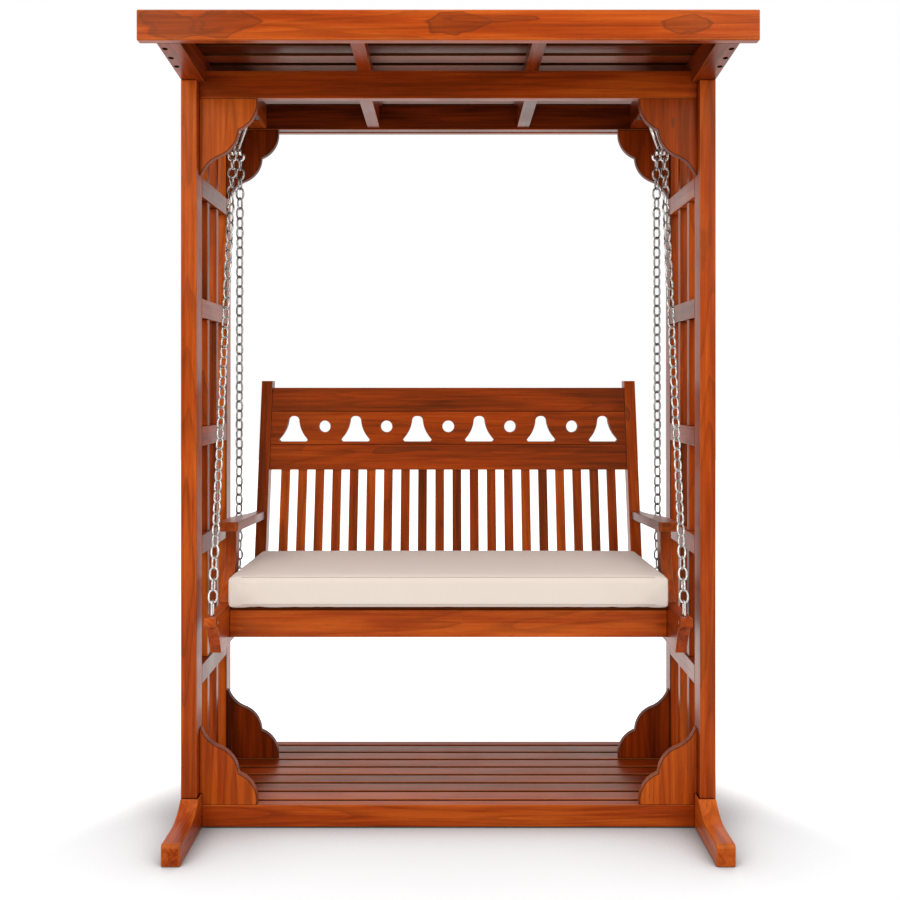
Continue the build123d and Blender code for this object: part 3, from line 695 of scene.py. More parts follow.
@dataclass(frozen=True)
class PolishedTimber:
    """Reddish hardwood under a glossy clear polish.

    Its lift is how light it is, its spread how much its boards differ, its heart how much of it is
    dark heartwood, and its gloss how strongly it shines.
    """

    name: str
    grain: Grain
    deep: Colour = (0.060, 0.008, 0.002, 1.0)
    main: Colour = (0.300, 0.036, 0.0035, 1.0)
    bright: Colour = (0.520, 0.100, 0.010, 1.0)
    heart_colour: Colour = (0.070, 0.013, 0.005, 1.0)
    rubbed: Colour = (0.47, 0.125, 0.026, 1.0)
    # Colour of dark joints, and of the painted shade on sawn rims and in slat gaps.
    grime_and_shade: Colour = (0.018, 0.005, 0.002, 1.0)
    sheen: Colour = (1.0, 0.34, 0.06, 1.0)
    lift: float = 0.5
    spread: float = 0.22
    heart: float = 0.35
    ring_count: float = 9.0
    wear: float = 0.5
    gloss: float = 0.30
    roughness: float = 0.30
    coat: float = 0.10
    coat_roughness: float = 0.14
    coat_ior: float = 1.38
    stains: tuple[Stain, ...] = ()

    def build(self) -> bpy.types.Material:
        """Make the material.

        Returns:
            The finished material.
        """
        material, sheet, shader = material_sheet(self.name)
        where = sheet.place()
        turn = sheet.add("ShaderNodeMapping")
        turn.inputs["Rotation"].default_value = [math.radians(angle) for angle in self.grain.value]
        sheet.put(where, turn.inputs["Vector"])
        board, edge = sheet.mark(BOARD_MARK), sheet.mark(EDGE_MARK)
        figure = sheet.group("timber_figure", Vector=turn.outputs[0], Board=board, Heart=self.heart,
                             Ring_Count=self.ring_count)
        eased = sheet.math("MAXIMUM", edge, 0.0)
        # Below zero the edge mark holds dark joints and painted shade on sawn rims.
        seam = sheet.math("MAXIMUM", sheet.times(edge, -1.0), 0.0)
        wear = sheet.group("edge_wear", Vector=where, Edge=eased, Amount=self.wear)["Wear"]
        cloud = sheet.group("smudge", Vector=where, Scale=7.0)["Cloud"]
        tone = self.tone(sheet, figure, board)
        stain = self.stained(sheet, where, figure["Heart"])
        sheet.put(self.colour(sheet, figure, tone, stain, wear, seam), shader.inputs["Base Color"])

        rough = sheet.math("ADD", sheet.times(cloud, 0.10), self.roughness)
        rough = sheet.math("ADD", rough, sheet.times(wear, 0.12))
        rough = sheet.math("ADD", rough, sheet.times(seam, 0.45))
        sheet.put(rough, shader.inputs["Roughness"])
        fibres = sheet.bump(figure["Fibre"], 0.25, 0.4 * MM)
        closed = sheet.math("SUBTRACT", 1.0, figure["Pore"])
        sheet.put(sheet.bump(closed, 0.2, 0.2 * MM, fibres), shader.inputs["Normal"])
        polished = sheet.math("SUBTRACT", 1.0, seam)
        sheet.put(sheet.times(polished, self.coat), shader.inputs["Coat Weight"])
        shader.inputs["Specular IOR Level"].default_value = self.gloss
        shader.inputs["Specular Tint"].default_value = self.sheen
        shader.inputs["Coat Roughness"].default_value = self.coat_roughness
        shader.inputs["Coat IOR"].default_value = self.coat_ior
        return material

    def tone(self, sheet: NodeSheet, figure: bpy.types.bpy_prop_collection,
             board: bpy.types.NodeSocket) -> bpy.types.NodeSocket:
        """Work out how light the timber is.

        Args:
            sheet: The material's sheet.
            figure: The outputs of the timber's figure.
            board: The random number of the board.

        Returns:
            The tone, from 0 for deep to 1 for bright.
        """
        own = sheet.times(sheet.math("SUBTRACT", board, 0.5), self.spread * 2.0)
        tone = sheet.math("ADD", own, self.lift)
        for part, share in (("Tone", 0.36), ("Fibre", 0.40), ("Streak", 0.75)):
            lean = sheet.math("SUBTRACT", figure[part], 0.5)
            tone = sheet.math("ADD", tone, sheet.times(lean, share))
        return tone

    def colour(self, sheet: NodeSheet, figure: bpy.types.bpy_prop_collection,
               tone: bpy.types.NodeSocket, stain: bpy.types.NodeSocket, wear: bpy.types.NodeSocket,
               seam: bpy.types.NodeSocket) -> bpy.types.NodeSocket:
        """Lay the timber's colours over each other.

        Args:
            sheet: The material's sheet.
            figure: The outputs of the timber's figure.
            tone: How light the timber is.
            stain: Mask of its dark heartwood.
            wear: Mask of its rubbed edges.
            seam: Mask of its dark joints and of the painted shade on its sawn rims.

        Returns:
            The colour.
        """
        low = sheet.blend(sheet.ramp(tone, 0.0, 0.5, smooth=False), self.deep, self.main)
        colour = sheet.blend(sheet.ramp(tone, 0.5, 1.0, smooth=False), low, self.bright)
        # The last layer darkens joints and paints shade on sawn rims.
        layers = ((figure["Line"], 0.32, self.deep), (stain, 0.80, self.heart_colour),
                  (figure["Knot"], 0.75, self.heart_colour), (figure["Pore"], 0.35, self.deep),
                  (wear, 1.0, self.rubbed), (seam, 0.88, self.grime_and_shade))
        for mask, share, layer in layers:
            colour = sheet.blend(sheet.times(mask, share), colour, layer)
        return colour

    def stained(self, sheet: NodeSheet, where: bpy.types.NodeSocket,
                mask: bpy.types.NodeSocket) -> bpy.types.NodeSocket:
        """Add the finish's own stains to the heartwood of its figure.

        Args:
            sheet: The material's sheet.
            where: The place that is shaded.
            mask: Mask of the heartwood in the figure.

        Returns:
            The mask of all dark heartwood.
        """
        if not self.stains:
            return mask
        cloud = sheet.grain_noise(where, 11.0, 26.0, 2.0, 0.45)
        ragged = sheet.times(sheet.math("SUBTRACT", cloud, 0.5), 2.9)
        for stain in self.stains:
            offset = sheet.vector("SUBTRACT", where, (stain.x, 0.0, stain.z))
            shape = sheet.stretch(offset, (1.0 / stain.half_x, 0.0, 1.0 / stain.half_z))
            reach = sheet.math("ADD", sheet.length(shape), ragged)
            spot = sheet.outlined(sheet.math("SUBTRACT", 1.0, reach), 0.20)
            mask = sheet.math("MAXIMUM", mask, spot)
        return mask


@dataclass(frozen=True)
class PaintedHoleShade:
    """A disc painted with the shade inside a deep screw hole."""

    name: str
    bottom: Colour = (0.006, 0.002, 0.001, 1.0)
    wall: Colour = (0.022, 0.006, 0.003, 1.0)

    def build(self) -> bpy.types.Material:
        """Make the material.

        Returns:
            The finished material.
        """
        material, sheet, shader = material_sheet(self.name)
        depth = sheet.noise(sheet.place(), 400.0, 2.0)
        sheet.put(sheet.blend(depth, self.bottom, self.wall), shader.inputs["Base Color"])
        shader.inputs["Roughness"].default_value = 1.0
        shader.inputs["Specular IOR Level"].default_value = 0.0
        return material


@dataclass(frozen=True)
class BrightSteel:
    """Plated steel, a little dulled and scratched by handling."""

    name: str
    colour: Colour
    dull: Colour

    def build(self) -> bpy.types.Material:
        """Make the material.

        Returns:
            The finished material.
        """
        material, sheet, shader = material_sheet(self.name)
        where = sheet.place()
        cloud = sheet.group("smudge", Vector=where, Scale=90.0)["Cloud"]
        sheet.put(sheet.blend(sheet.times(cloud, 0.6), self.colour, self.dull),
                  shader.inputs["Base Color"])
        sheet.put(sheet.ramp(cloud, 0.0, 1.0, (0.16, 0.34)), shader.inputs["Roughness"])
        scratches = sheet.grain_noise(where, 900.0, 120.0, 2.0, 0.6)
        sheet.put(sheet.bump(scratches, 0.15, 0.3 * MM), shader.inputs["Normal"])
        shader.inputs["Metallic"].default_value = 1.0
        return material


@dataclass(frozen=True)
class CoverCloth:
    """Plain-woven cotton, off-white unless it says otherwise."""

    name: str
    colour: Colour = (0.665, 0.570, 0.500, 1.0)
    shade: Colour = (0.600, 0.505, 0.440, 1.0)
    thread: float = 1.3 * MM

    def build(self) -> bpy.types.Material:
        """Make the material.

        Returns:
            The finished material.
        """
        material, sheet, shader = material_sheet(self.name)
        where = sheet.place()
        weave = sheet.group("plain_weave", Vector=where, Thread=self.thread)
        cloud = sheet.group("smudge", Vector=where, Scale=5.0)["Cloud"]
        slub = sheet.ramp(weave["Slub"], 0.35, 0.65, (0.0, 0.16))
        colour = sheet.blend(slub, self.colour, self.shade)
        sheet.put(sheet.blend(sheet.times(cloud, 0.16), colour, self.shade), shader.inputs["Base Color"])
        sheet.put(sheet.ramp(weave["Height"], -1.0, 1.0, (0.92, 0.78)), shader.inputs["Roughness"])
        folds = sheet.bump(sheet.noise(where, 9.0, 2.0), 0.22, 3.0 * MM)
        sheet.put(sheet.bump(weave["Height"], 0.16, 0.3 * MM, folds), shader.inputs["Normal"])
        shader.inputs["Sheen Weight"].default_value = 0.15
        shader.inputs["Sheen Roughness"].default_value = 0.6
        shader.inputs["Specular IOR Level"].default_value = 0.25
        return material


# ---- timber ------------------------------------------------------------------
@dataclass(frozen=True)
class PaintedRimShade:
    """Painted shade on the sawn rim of a board, for dark slat gaps, piercings and bracket outlines.

    The board's face looks along axis. Where it runs along another axis, its ends are left unshaded.
    """

    axis: int
    side: float
    outline: float = 0.0
    along: int | None = None
    end_facing: float = 0.7
    side_facing: float = 0.3
    flat_facing: float = 0.97

    def darkness(self, normal: Vector) -> float:
        """Tell how much painted shade a face of the board gets.

        Args:
            normal: Which way the face looks.

        Returns:
            The painted shade, from 0 for an unshaded face to 1.
        """
        if self.along is not None and abs(normal[self.along]) > self.end_facing:
            return 0.0
        facing = abs(normal[self.axis])
        if facing < self.side_facing:
            return self.side
        return self.outline if facing < self.flat_facing else 0.0


@dataclass
class TimberWork:
    """Turns packed timber nodes into pieces with eased edges and their own figure."""

    nodes: dict[str, bpy.types.Object]
    arris: float = 1.4 * MM
    steps: int = 2
    joint_gap: float = 1.5 * MM
    finishes: dict[str, bpy.types.Material] = field(default_factory=dict)
    shells: dict[str, tuple[Vector, Vector, BVHTree]] = field(default_factory=dict)

    def __post_init__(self) -> None:
        """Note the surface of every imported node, to find the joints between them."""
        for name, node in self.nodes.items():
            low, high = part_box(name)
            corners = [vert.co for vert in node.data.vertices]
            faces = [tuple(face.vertices) for face in node.data.polygons]
            self.shells[name] = (low, high, BVHTree.FromPolygons(corners, faces))

    def in_joint(self, spot: Vector, node: str) -> bool:
        """Tell whether a point lies against another node.

        Args:
            spot: The point.
            node: The node that it is on.

        Returns:
            Whether another node is closer than the joint gap.
        """
        gap = self.joint_gap
        for name, (low, high, shell) in self.shells.items():
            inside = all(low[axis] - gap <= spot[axis] <= high[axis] + gap for axis in range(3))
            if name != node and inside and shell.find_nearest(spot, gap)[0] is not None:
                return True
        return False

    def finish(self, timber: PolishedTimber) -> bpy.types.Material:
        """Give the material of a finish, made the first time it is asked for.

        Args:
            timber: The finish.

        Returns:
            Its material.
        """
        if timber.name not in self.finishes:
            self.finishes[timber.name] = timber.build()
        return self.finishes[timber.name]

    def number_boards(self, bm: bmesh.types.BMesh, seed: str) -> None:
        """Store one random number for each board, so that no two share a figure.

        Args:
            bm: The bmesh of one or more boards.
            seed: Text that the numbers come from.
        """
        layer = bm.verts.layers.float.new(BOARD_MARK)
        draw = random.Random(seed)
        for group in islands(bm):
            value = draw.random()
            for vert in group:
                vert[layer] = value

    def ease(self, bm: bmesh.types.BMesh, arris: float, node: str) -> None:
        """Round every outside corner a little and mark the new faces.

        They are marked 1 where they are worn, and -1 where they lie in a joint.

        Args:
            bm: The bmesh to change.
            arris: Width of the rounding.
            node: The node that it is a copy of.
        """
        mark = bm.faces.layers.float.new(EDGE_MARK)
        for face in round_edges(bm, outside_corners(bm), arris, self.steps):
            face[mark] = -1.0 if self.in_joint(face.calc_center_median(), node) else 1.0

    def paint_rim_shade(self, bm: bmesh.types.BMesh, rim: PaintedRimShade) -> None:
        """Paint shade on the sawn rim of a board, marked by its darkness below zero.

        Args:
            bm: The bmesh to mark.
            rim: Where its rim gets painted shade.
        """
        mark = bm.faces.layers.float[EDGE_MARK]
        for face in bm.faces:
            darkness = rim.darkness(face.normal)
            if darkness > 0.0:
                face[mark] = -darkness

    def dress(self, node: str, body: Body, timber: PolishedTimber, arris: float | None = None,
              rim: PaintedRimShade | None = None) -> bpy.types.Object:
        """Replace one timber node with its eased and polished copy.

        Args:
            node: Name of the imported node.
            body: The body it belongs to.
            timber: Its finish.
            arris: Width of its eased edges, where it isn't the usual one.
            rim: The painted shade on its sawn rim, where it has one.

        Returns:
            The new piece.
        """
        bm = merged_copy(self.nodes[node])
        self.number_boards(bm, node)
        self.ease(bm, self.arris if arris is None else arris, node)
        if rim is not None:
            self.paint_rim_shade(bm, rim)
        piece = object_from(f"{node}_timber", bm)
        even_shading(piece)
        attach(piece, body, self.finish(timber))
        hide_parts(node)
        LOG.info("timber %s: %d faces", piece.name, len(piece.data.polygons))
        return piece


@dataclass
class StandingFrame:
    """Feet, posts, side ladders, beams and brackets."""

    work: TimberWork
    foot_arris: float = 4.0 * MM
    post_arris: float = 2.0 * MM
    bracket_arris: float = 1.6 * MM
    # Painted shade on the brackets' sawn sides and edges, for their dark outline.
    bracket_rim_shade: PaintedRimShade = PaintedRimShade(axis=1, side=0.42, outline=0.9)

    def build(self) -> None:
        """Dress every timber of the frame."""
        for side in SIDES:
            self.side_ladder(side)
        for end in ENDS:
            self.cross_frame(end)

    def side_ladder(self, side: str) -> None:
        """Dress the foot, posts, rails and slats of one side.

        Args:
            side: Which side.
        """
        post = PolishedTimber("polished_post", Grain.UPRIGHT, lift=0.62, heart=0.16)
        # The foot is made lighter as painted light, since its front end gets little light.
        foot = PolishedTimber("polished_foot", Grain.DEEP, lift=0.80, heart=0.1)
        rail = PolishedTimber("polished_side_rail", Grain.DEEP, lift=0.48, gloss=0.5)
        slat = PolishedTimber("polished_side_slat", Grain.UPRIGHT, lift=0.48, spread=0.3)
        self.work.dress(f"{side}_foot", Body.FRAME, foot, self.foot_arris)
        for end in ENDS:
            self.work.dress(f"{side}_{end}_post", Body.FRAME, post, self.post_arris)
        self.work.dress(f"{side}_side_rails", Body.FRAME, rail)
        self.work.dress(f"{side}_side_slats", Body.FRAME, slat)
        self.work.dress(f"{side}_hanger_beam", Body.FRAME, rail)

    def cross_frame(self, end: str) -> None:
        """Dress the top beam of the front or the back, and its scalloped brackets.

        The back ones get darker finishes, painted shade; the front beam a lighter one, painted light.

        Args:
            end: The front or the back.
        """
        # The back beam's low lift is painted shade; the front beam's high lift is painted light against the
        # roof's shadow.
        beams = {"front": PolishedTimber("polished_front_beam", Grain.ACROSS, lift=0.56, heart=0.3),
                 "back": PolishedTimber("polished_back_beam", Grain.ACROSS, lift=0.0, heart=0.3)}
        top = PolishedTimber("polished_bracket", Grain.UPRIGHT, lift=0.68, heart=0.1, wear=0.75,
                             ring_count=7.0)
        low = PolishedTimber("polished_low_bracket", Grain.UPRIGHT, lift=0.88, heart=0.1)
        # The back brackets are a darker copy of the bracket finish: painted shade.
        shaded = PolishedTimber("polished_back_bracket", Grain.UPRIGHT, lift=0.22, heart=0.1)
        brackets = {"front": (top, low), "back": (shaded, shaded)}
        self.work.dress(f"{end}_top_beam", Body.FRAME, beams[end])
        for height, timber in zip(("top", "bottom"), brackets[end]):
            self.work.dress(f"{end}_{height}_brackets", Body.FRAME, timber, self.bracket_arris,
                            self.bracket_rim_shade)


@dataclass
class Roof:
    """Edge boards, rafters, slats and the board over them."""

    work: TimberWork
    fascia_arris: float = 2.0 * MM
    slat_arris: float = 1.2 * MM
    board_arris: float = 0.8 * MM
    # Painted shade on the roof slats' sides, for the dark gaps between them.
    slat_gap_shade: PaintedRimShade = PaintedRimShade(axis=2, side=0.95, outline=0.85, along=0)
    stains: tuple[Stain, ...] = (
        Stain(x=-0.622, z=1.938, half_x=0.062, half_z=0.030),
        Stain(x=-0.516, z=1.944, half_x=0.070, half_z=0.026),
        Stain(x=0.020, z=1.940, half_x=0.052, half_z=0.020),
        Stain(x=0.140, z=1.952, half_x=0.100, half_z=0.006),
        Stain(x=0.546, z=1.940, half_x=0.058, half_z=0.015),
    )
    screw_rows: tuple[float, ...] = (0.270, 0.318, 0.368)
    screw_in: float = 11.3 * MM
    screw_r: float = 6.5 * MM
    screw_sides: int = 20
    proud: float = 0.25 * MM

    def build(self) -> None:
        """Dress the roof and lay discs painted with its screw holes' shade."""
        fascia = PolishedTimber("polished_fascia", Grain.ACROSS, lift=0.43, heart=0.1, ring_count=6.0,
                                stains=self.stains)
        far_fascia = PolishedTimber("polished_back_fascia", Grain.ACROSS, lift=0.43, heart=0.2)
        rafter = PolishedTimber("polished_rafter", Grain.DEEP, lift=0.30, heart=0.15)
        # The roof slats and the board over them are darkened as painted shade of the roof's underside.
        slat = PolishedTimber("polished_roof_slat", Grain.ACROSS, lift=0.08, spread=0.2, gloss=0.7)
        board = PolishedTimber("polished_roof_board", Grain.ACROSS, lift=-0.2, heart=0.3)
        self.work.dress("front_fascia", Body.FRAME, fascia, self.fascia_arris)
        self.work.dress("back_fascia", Body.FRAME, far_fascia, self.fascia_arris)
        self.work.dress("mid_rafters", Body.FRAME, rafter)
        self.work.dress("roof_slats", Body.FRAME, slat, self.slat_arris, self.slat_gap_shade)
        self.work.dress("roof_panel", Body.FRAME, board, self.board_arris)
        for side in SIDES:
            self.work.dress(f"{side}_end_rafter", Body.FRAME, rafter)
        self.paint_screw_holes()

    def paint_screw_holes(self) -> None:
        """Lay discs painted with the shade of screw holes under the rafters' free ends."""
        # Each hole is a thin disc painted with the shade inside it.
        dark = PaintedHoleShade("screw_hole_shade").build()
        for side, sign in zip(SIDES, (-1.0, 1.0)):
            low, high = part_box(f"{side}_end_rafter")
            post_face = -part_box(f"{side}_front_post")[0].y
            slope = (self.tip_height(side, high.y) - low.z) / (high.y - post_face)
            x = sign * (max(abs(low.x), abs(high.x)) - self.screw_in)
            bm = bmesh.new()
            for end in (-1.0, 1.0):
                lean = Matrix.Rotation(end * math.atan(slope), 4, "X")
                for row in self.screw_rows:
                    spot = Matrix.Translation((x, end * row, low.z + (row - post_face) * slope))
                    bmesh.ops.create_cone(bm, cap_ends=True, cap_tris=False, segments=self.screw_sides,
                                          radius1=self.screw_r, radius2=self.screw_r,
                                          depth=2.0 * self.proud, matrix=spot @ lean)
            bmesh.ops.recalc_face_normals(bm, faces=bm.faces)
            piece = object_from(f"{side}_rafter_screw_hole_shades", bm)
            rounded_shading(piece.data)
            attach(piece, Body.FRAME, dark)
            LOG.info("screw holes %s", piece.name)

    def tip_height(self, side: str, reach: float) -> float:
        """Find how high the underside of an end rafter is at its tips.

        Args:
            side: Which end rafter.
            reach: How far its tips are from the middle of the roof.

        Returns:
            The height of the tips' underside.
        """
        corners = self.work.nodes[f"{side}_end_rafter"].data.vertices
        return min(corner.co.z for corner in corners if reach - abs(corner.co.y) < MM)


@dataclass
class Platform:
    """Foot platform between the two feet."""

    work: TimberWork
    # Painted shade on the platform slats' sides, for the dark gaps between them.
    slat_gap_shade: PaintedRimShade = PaintedRimShade(axis=2, side=0.95, along=0)

    def build(self) -> None:
        """Dress the platform."""
        rail = PolishedTimber("polished_platform_rail", Grain.ACROSS, lift=0.58, heart=0.2)
        slat = PolishedTimber("polished_platform_slat", Grain.ACROSS, lift=0.36, spread=0.16, heart=0.3,
                              gloss=0.75)
        for end in ENDS:
            self.work.dress(f"{end}_platform_rail", Body.FRAME, rail)
        self.work.dress("platform_slats", Body.FRAME, slat, rim=self.slat_gap_shade)
        self.work.dress("platform_bearers", Body.FRAME, slat)


@dataclass
class Bench:
    """Side beams, legs, arms, seat and pierced back."""

    work: TimberWork
    arm_arris: float = 2.5 * MM
    back_arris: float = 1.2 * MM
    panel_arris: float = 0.9 * MM
    # Painted shade on the seat slats' sides, for the dark line under the cushion's front.
    slat_gap_shade: PaintedRimShade = PaintedRimShade(axis=2, side=0.95, outline=0.9, along=0)
    # Painted shade on the walls of the back panel's piercings.
    panel_hole_shade: PaintedRimShade = PaintedRimShade(axis=1, side=0.6)

    def build(self) -> None:
        """Dress every timber of the bench."""
        beam = PolishedTimber("polished_seat_beam", Grain.DEEP, lift=0.50, heart=0.2, wear=0.7)
        for side in SIDES:
            self.arm_side(side, beam)
        self.seat(beam)
        self.back()

    def arm_side(self, side: str, beam: PolishedTimber) -> None:
        """Dress the side beam, leg and arm of one side.

        Args:
            side: Which side.
            beam: Finish of the side beam.
        """
        leg = PolishedTimber("polished_leg", Grain.LEANING, lift=0.30)
        arm = PolishedTimber("polished_arm", Grain.DEEP, lift=-0.08, wear=0.2, gloss=0.5)
        support = PolishedTimber("polished_arm_support", Grain.UPRIGHT, lift=0.44)
        self.work.dress(f"{side}_seat_beam", Body.SWING, beam)
        self.work.dress(f"{side}_back_leg", Body.SWING, leg)
        self.work.dress(f"{side}_armrest", Body.SWING, arm, self.arm_arris)
        self.work.dress(f"{side}_arm_support", Body.SWING, support)

    def seat(self, bearer: PolishedTimber) -> None:
        """Dress the rails, bearers and slats under the cushion.

        Args:
            bearer: Finish of the bearers.
        """
        rail = PolishedTimber("polished_seat_rail", Grain.ACROSS, lift=0.52, heart=0.12)
        slat = PolishedTimber("polished_seat_slat", Grain.ACROSS, lift=0.40)
        self.work.dress("front_seat_rail", Body.SWING, rail)
        self.work.dress("back_seat_rail", Body.SWING, slat)
        self.work.dress("seat_bearers", Body.SWING, bearer)
        self.work.dress("seat_slats", Body.SWING, slat, rim=self.slat_gap_shade)

    def back(self) -> None:
        """Dress the pierced panel, the rails round it and the slats below."""
        top = PolishedTimber("polished_top_rail", Grain.ACROSS, lift=0.04, heart=0.35)
        panel = PolishedTimber("polished_back_panel", Grain.ACROSS, lift=0.22, heart=0.30)
        rail = PolishedTimber("polished_back_rail", Grain.ACROSS, lift=0.36, heart=0.30)
        slat = PolishedTimber("polished_back_slat", Grain.LEANING, lift=0.38, spread=0.30)
        self.work.dress("back_top_rail", Body.SWING, top, self.back_arris)
        self.work.dress("pierced_back_panel", Body.SWING, panel, self.panel_arris, self.panel_hole_shade)
        for node in ("back_middle_rail", "back_lower_rail"):
            self.work.dress(node, Body.SWING, rail, self.back_arris)
        self.work.dress("back_slats", Body.SWING, slat, self.back_arris)


# ---- metalwork ---------------------------------------------------------------
@dataclass(frozen=True)
class WireWork:
    """Bends rings, links and hooks out of round wire.

    The wire's section has so many sides, and each half turn so many steps. A round ring keeps a
    hair of straight, so that its two bends are made like a link's.
    """

    sides: int
    steps: int
    hair: float = 0.001 * MM

    def section(self, bm: bmesh.types.BMesh, radius: float, centre: Vector,
                along: Vector) -> list[bmesh.types.BMVert]:
        """Add the round section that a wire starts from.

        Args:
            bm: The bmesh to add to.
            radius: Radius of the wire.
            centre: Middle of the section.
            along: Direction of the wire there.

        Returns:
            The vertices of the section.
        """
        turn = Vector((0.0, 0.0, 1.0)).rotation_difference(along).to_matrix().to_4x4()
        place = Matrix.Translation(centre) @ turn
        made = bmesh.ops.create_circle(bm, cap_ends=False, segments=self.sides, radius=radius,
                                       matrix=place)
        return made["verts"]

    def outline(self, verts: list[bmesh.types.BMVert]) -> list[bmesh.types.BMEdge]:
        """Give the edges that join the vertices of a section.

        Args:
            verts: The vertices of the section.

        Returns:
            Its edges.
        """
        chosen = set(verts)
        return list(dict.fromkeys(edge for vert in verts for edge in vert.link_edges
                                  if set(edge.verts) <= chosen))

    def bend(self, bm: bmesh.types.BMesh, verts: list[bmesh.types.BMVert], centre: Vector,
             axis: Vector) -> list[bmesh.types.BMVert]:
        """Carry a wire's section through half a turn.

        Args:
            bm: The bmesh that holds it.
            verts: The vertices of the section.
            centre: Middle of the bend.
            axis: Axis of the bend.

        Returns:
            The vertices of the last section.
        """
        made = bmesh.ops.spin(bm, geom=[*verts, *self.outline(verts)], cent=centre, axis=axis,
                              angle=math.pi, steps=self.steps, use_merge=False)
        return [item for item in made["geom_last"] if isinstance(item, bmesh.types.BMVert)]

    def run(self, bm: bmesh.types.BMesh, verts: list[bmesh.types.BMVert],
            step: Vector) -> list[bmesh.types.BMVert]:
        """Carry a wire's section along a straight.

        Args:
            bm: The bmesh that holds it.
            verts: The vertices of the section.
            step: How far and which way.

        Returns:
            The vertices of the last section.
        """
        made = bmesh.ops.extrude_edge_only(bm, edges=self.outline(verts))
        last = [item for item in made["geom"] if isinstance(item, bmesh.types.BMVert)]
        bmesh.ops.translate(bm, verts=last, vec=step)
        return last

    def long_ring(self, length: float, width: float, wire: float) -> bmesh.types.BMesh:
        """Bend a closed ring with straight sides, along Z and flat in the XZ plane.

        Args:
            length: Its length over the wire.
            width: Its width over the wire.
            wire: Diameter of the wire.

        Returns:
            The bmesh of the ring about the origin.
        """
        bm = bmesh.new()
        bend_r = (width - wire) / 2.0
        top = Vector((0.0, 0.0, (length - width) / 2.0))
        bottom = -top
        axis = Vector((0.0, -1.0, 0.0))
        start = self.section(bm, wire / 2.0, top + Vector((bend_r, 0.0, 0.0)), Vector((0.0, 0.0, 1.0)))
        ends = self.bend(bm, start, top, axis)
        ends = self.run(bm, ends, bottom - top)
        ends = self.bend(bm, ends, bottom, axis)
        self.run(bm, ends, top - bottom)
        bmesh.ops.remove_doubles(bm, verts=bm.verts, dist=wire * 0.02)
        bmesh.ops.recalc_face_normals(bm, faces=bm.faces)
        return bm

    def round_ring(self, width: float, wire: float) -> bmesh.types.BMesh:
        """Bend a round ring, flat in the XZ plane.

        Args:
            width: Its width over the wire.
            wire: Diameter of the wire.

        Returns:
            The bmesh of the ring about the origin.
        """
        return self.long_ring(width, width - self.hair, wire)

    def dome(self, bm: bmesh.types.BMesh, verts: list[bmesh.types.BMVert], radius: float) -> None:
        """Close a wire's upper end with a rounded tip.

        Args:
            bm: The bmesh that holds it.
            verts: The vertices of its last section.
            radius: Radius of the wire.
        """
        last = verts
        for share, rise in ((0.8, 0.45), (0.4, 0.25)):
            last = self.run(bm, last, Vector((0.0, 0.0, radius * rise)))
            middle = sum((vert.co for vert in last), Vector()) / len(last)
            bmesh.ops.scale(bm, vec=(share, share, 1.0), space=Matrix.Translation(-middle), verts=last)
        bmesh.ops.contextual_create(bm, geom=[*last, *self.outline(last)])


@dataclass(frozen=True)
class Lie:
    """Where one link lies, and its size over the wire."""

    length: float
    width: float
    place: Matrix


def lies_of(node: bpy.types.Object) -> list[Lie]:
    """Read where the links of a packed chain lie.

    Args:
        node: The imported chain.

    Returns:
        One lie for each link.
    """
    bm = merged_copy(node)
    found = []
    for group in islands(bm):
        spots = np.array([vert.co for vert in group])
        middle = spots.mean(axis=0)
        _, axes = np.linalg.eigh(np.cov((spots - middle).T))
        reach = (spots - middle) @ axes
        spans = reach.max(axis=0) - reach.min(axis=0)
        along, across = Vector(axes[:, 2]), Vector(axes[:, 1])
        turn = Matrix((across, along.cross(across), along)).transposed().to_4x4()
        place = Matrix.Translation(Vector(middle)) @ turn
        found.append(Lie(float(spans[2]), float(spans[1]), place))
    bm.free()
    return found


def add_copy(target: bmesh.types.BMesh, shape: bmesh.types.BMesh, place: Matrix) -> None:
    """Copy a shape into another bmesh at a place.

    Args:
        target: The bmesh to add to.
        shape: The shape, which is kept.
        place: Where it goes.
    """
    mesh = bpy.data.meshes.new("shape")
    shape.to_mesh(mesh)
    mesh.transform(place)
    target.from_mesh(mesh)
    bpy.data.meshes.remove(mesh)


@dataclass(frozen=True)
class EyeBolt:
    """Sizes of a back eye bolt, from its ring in to the end of its thread."""

    ring: float = 23.0 * MM
    shank_r: float = 2.6 * MM
    collar: float = 3.0 * MM
    nut: float = 5.0 * MM
    nut_r: float = 9.0 * MM
    nut_sides: int = 6
    thread: float = 2.0 * MM
    thread_r: float = 3.4 * MM


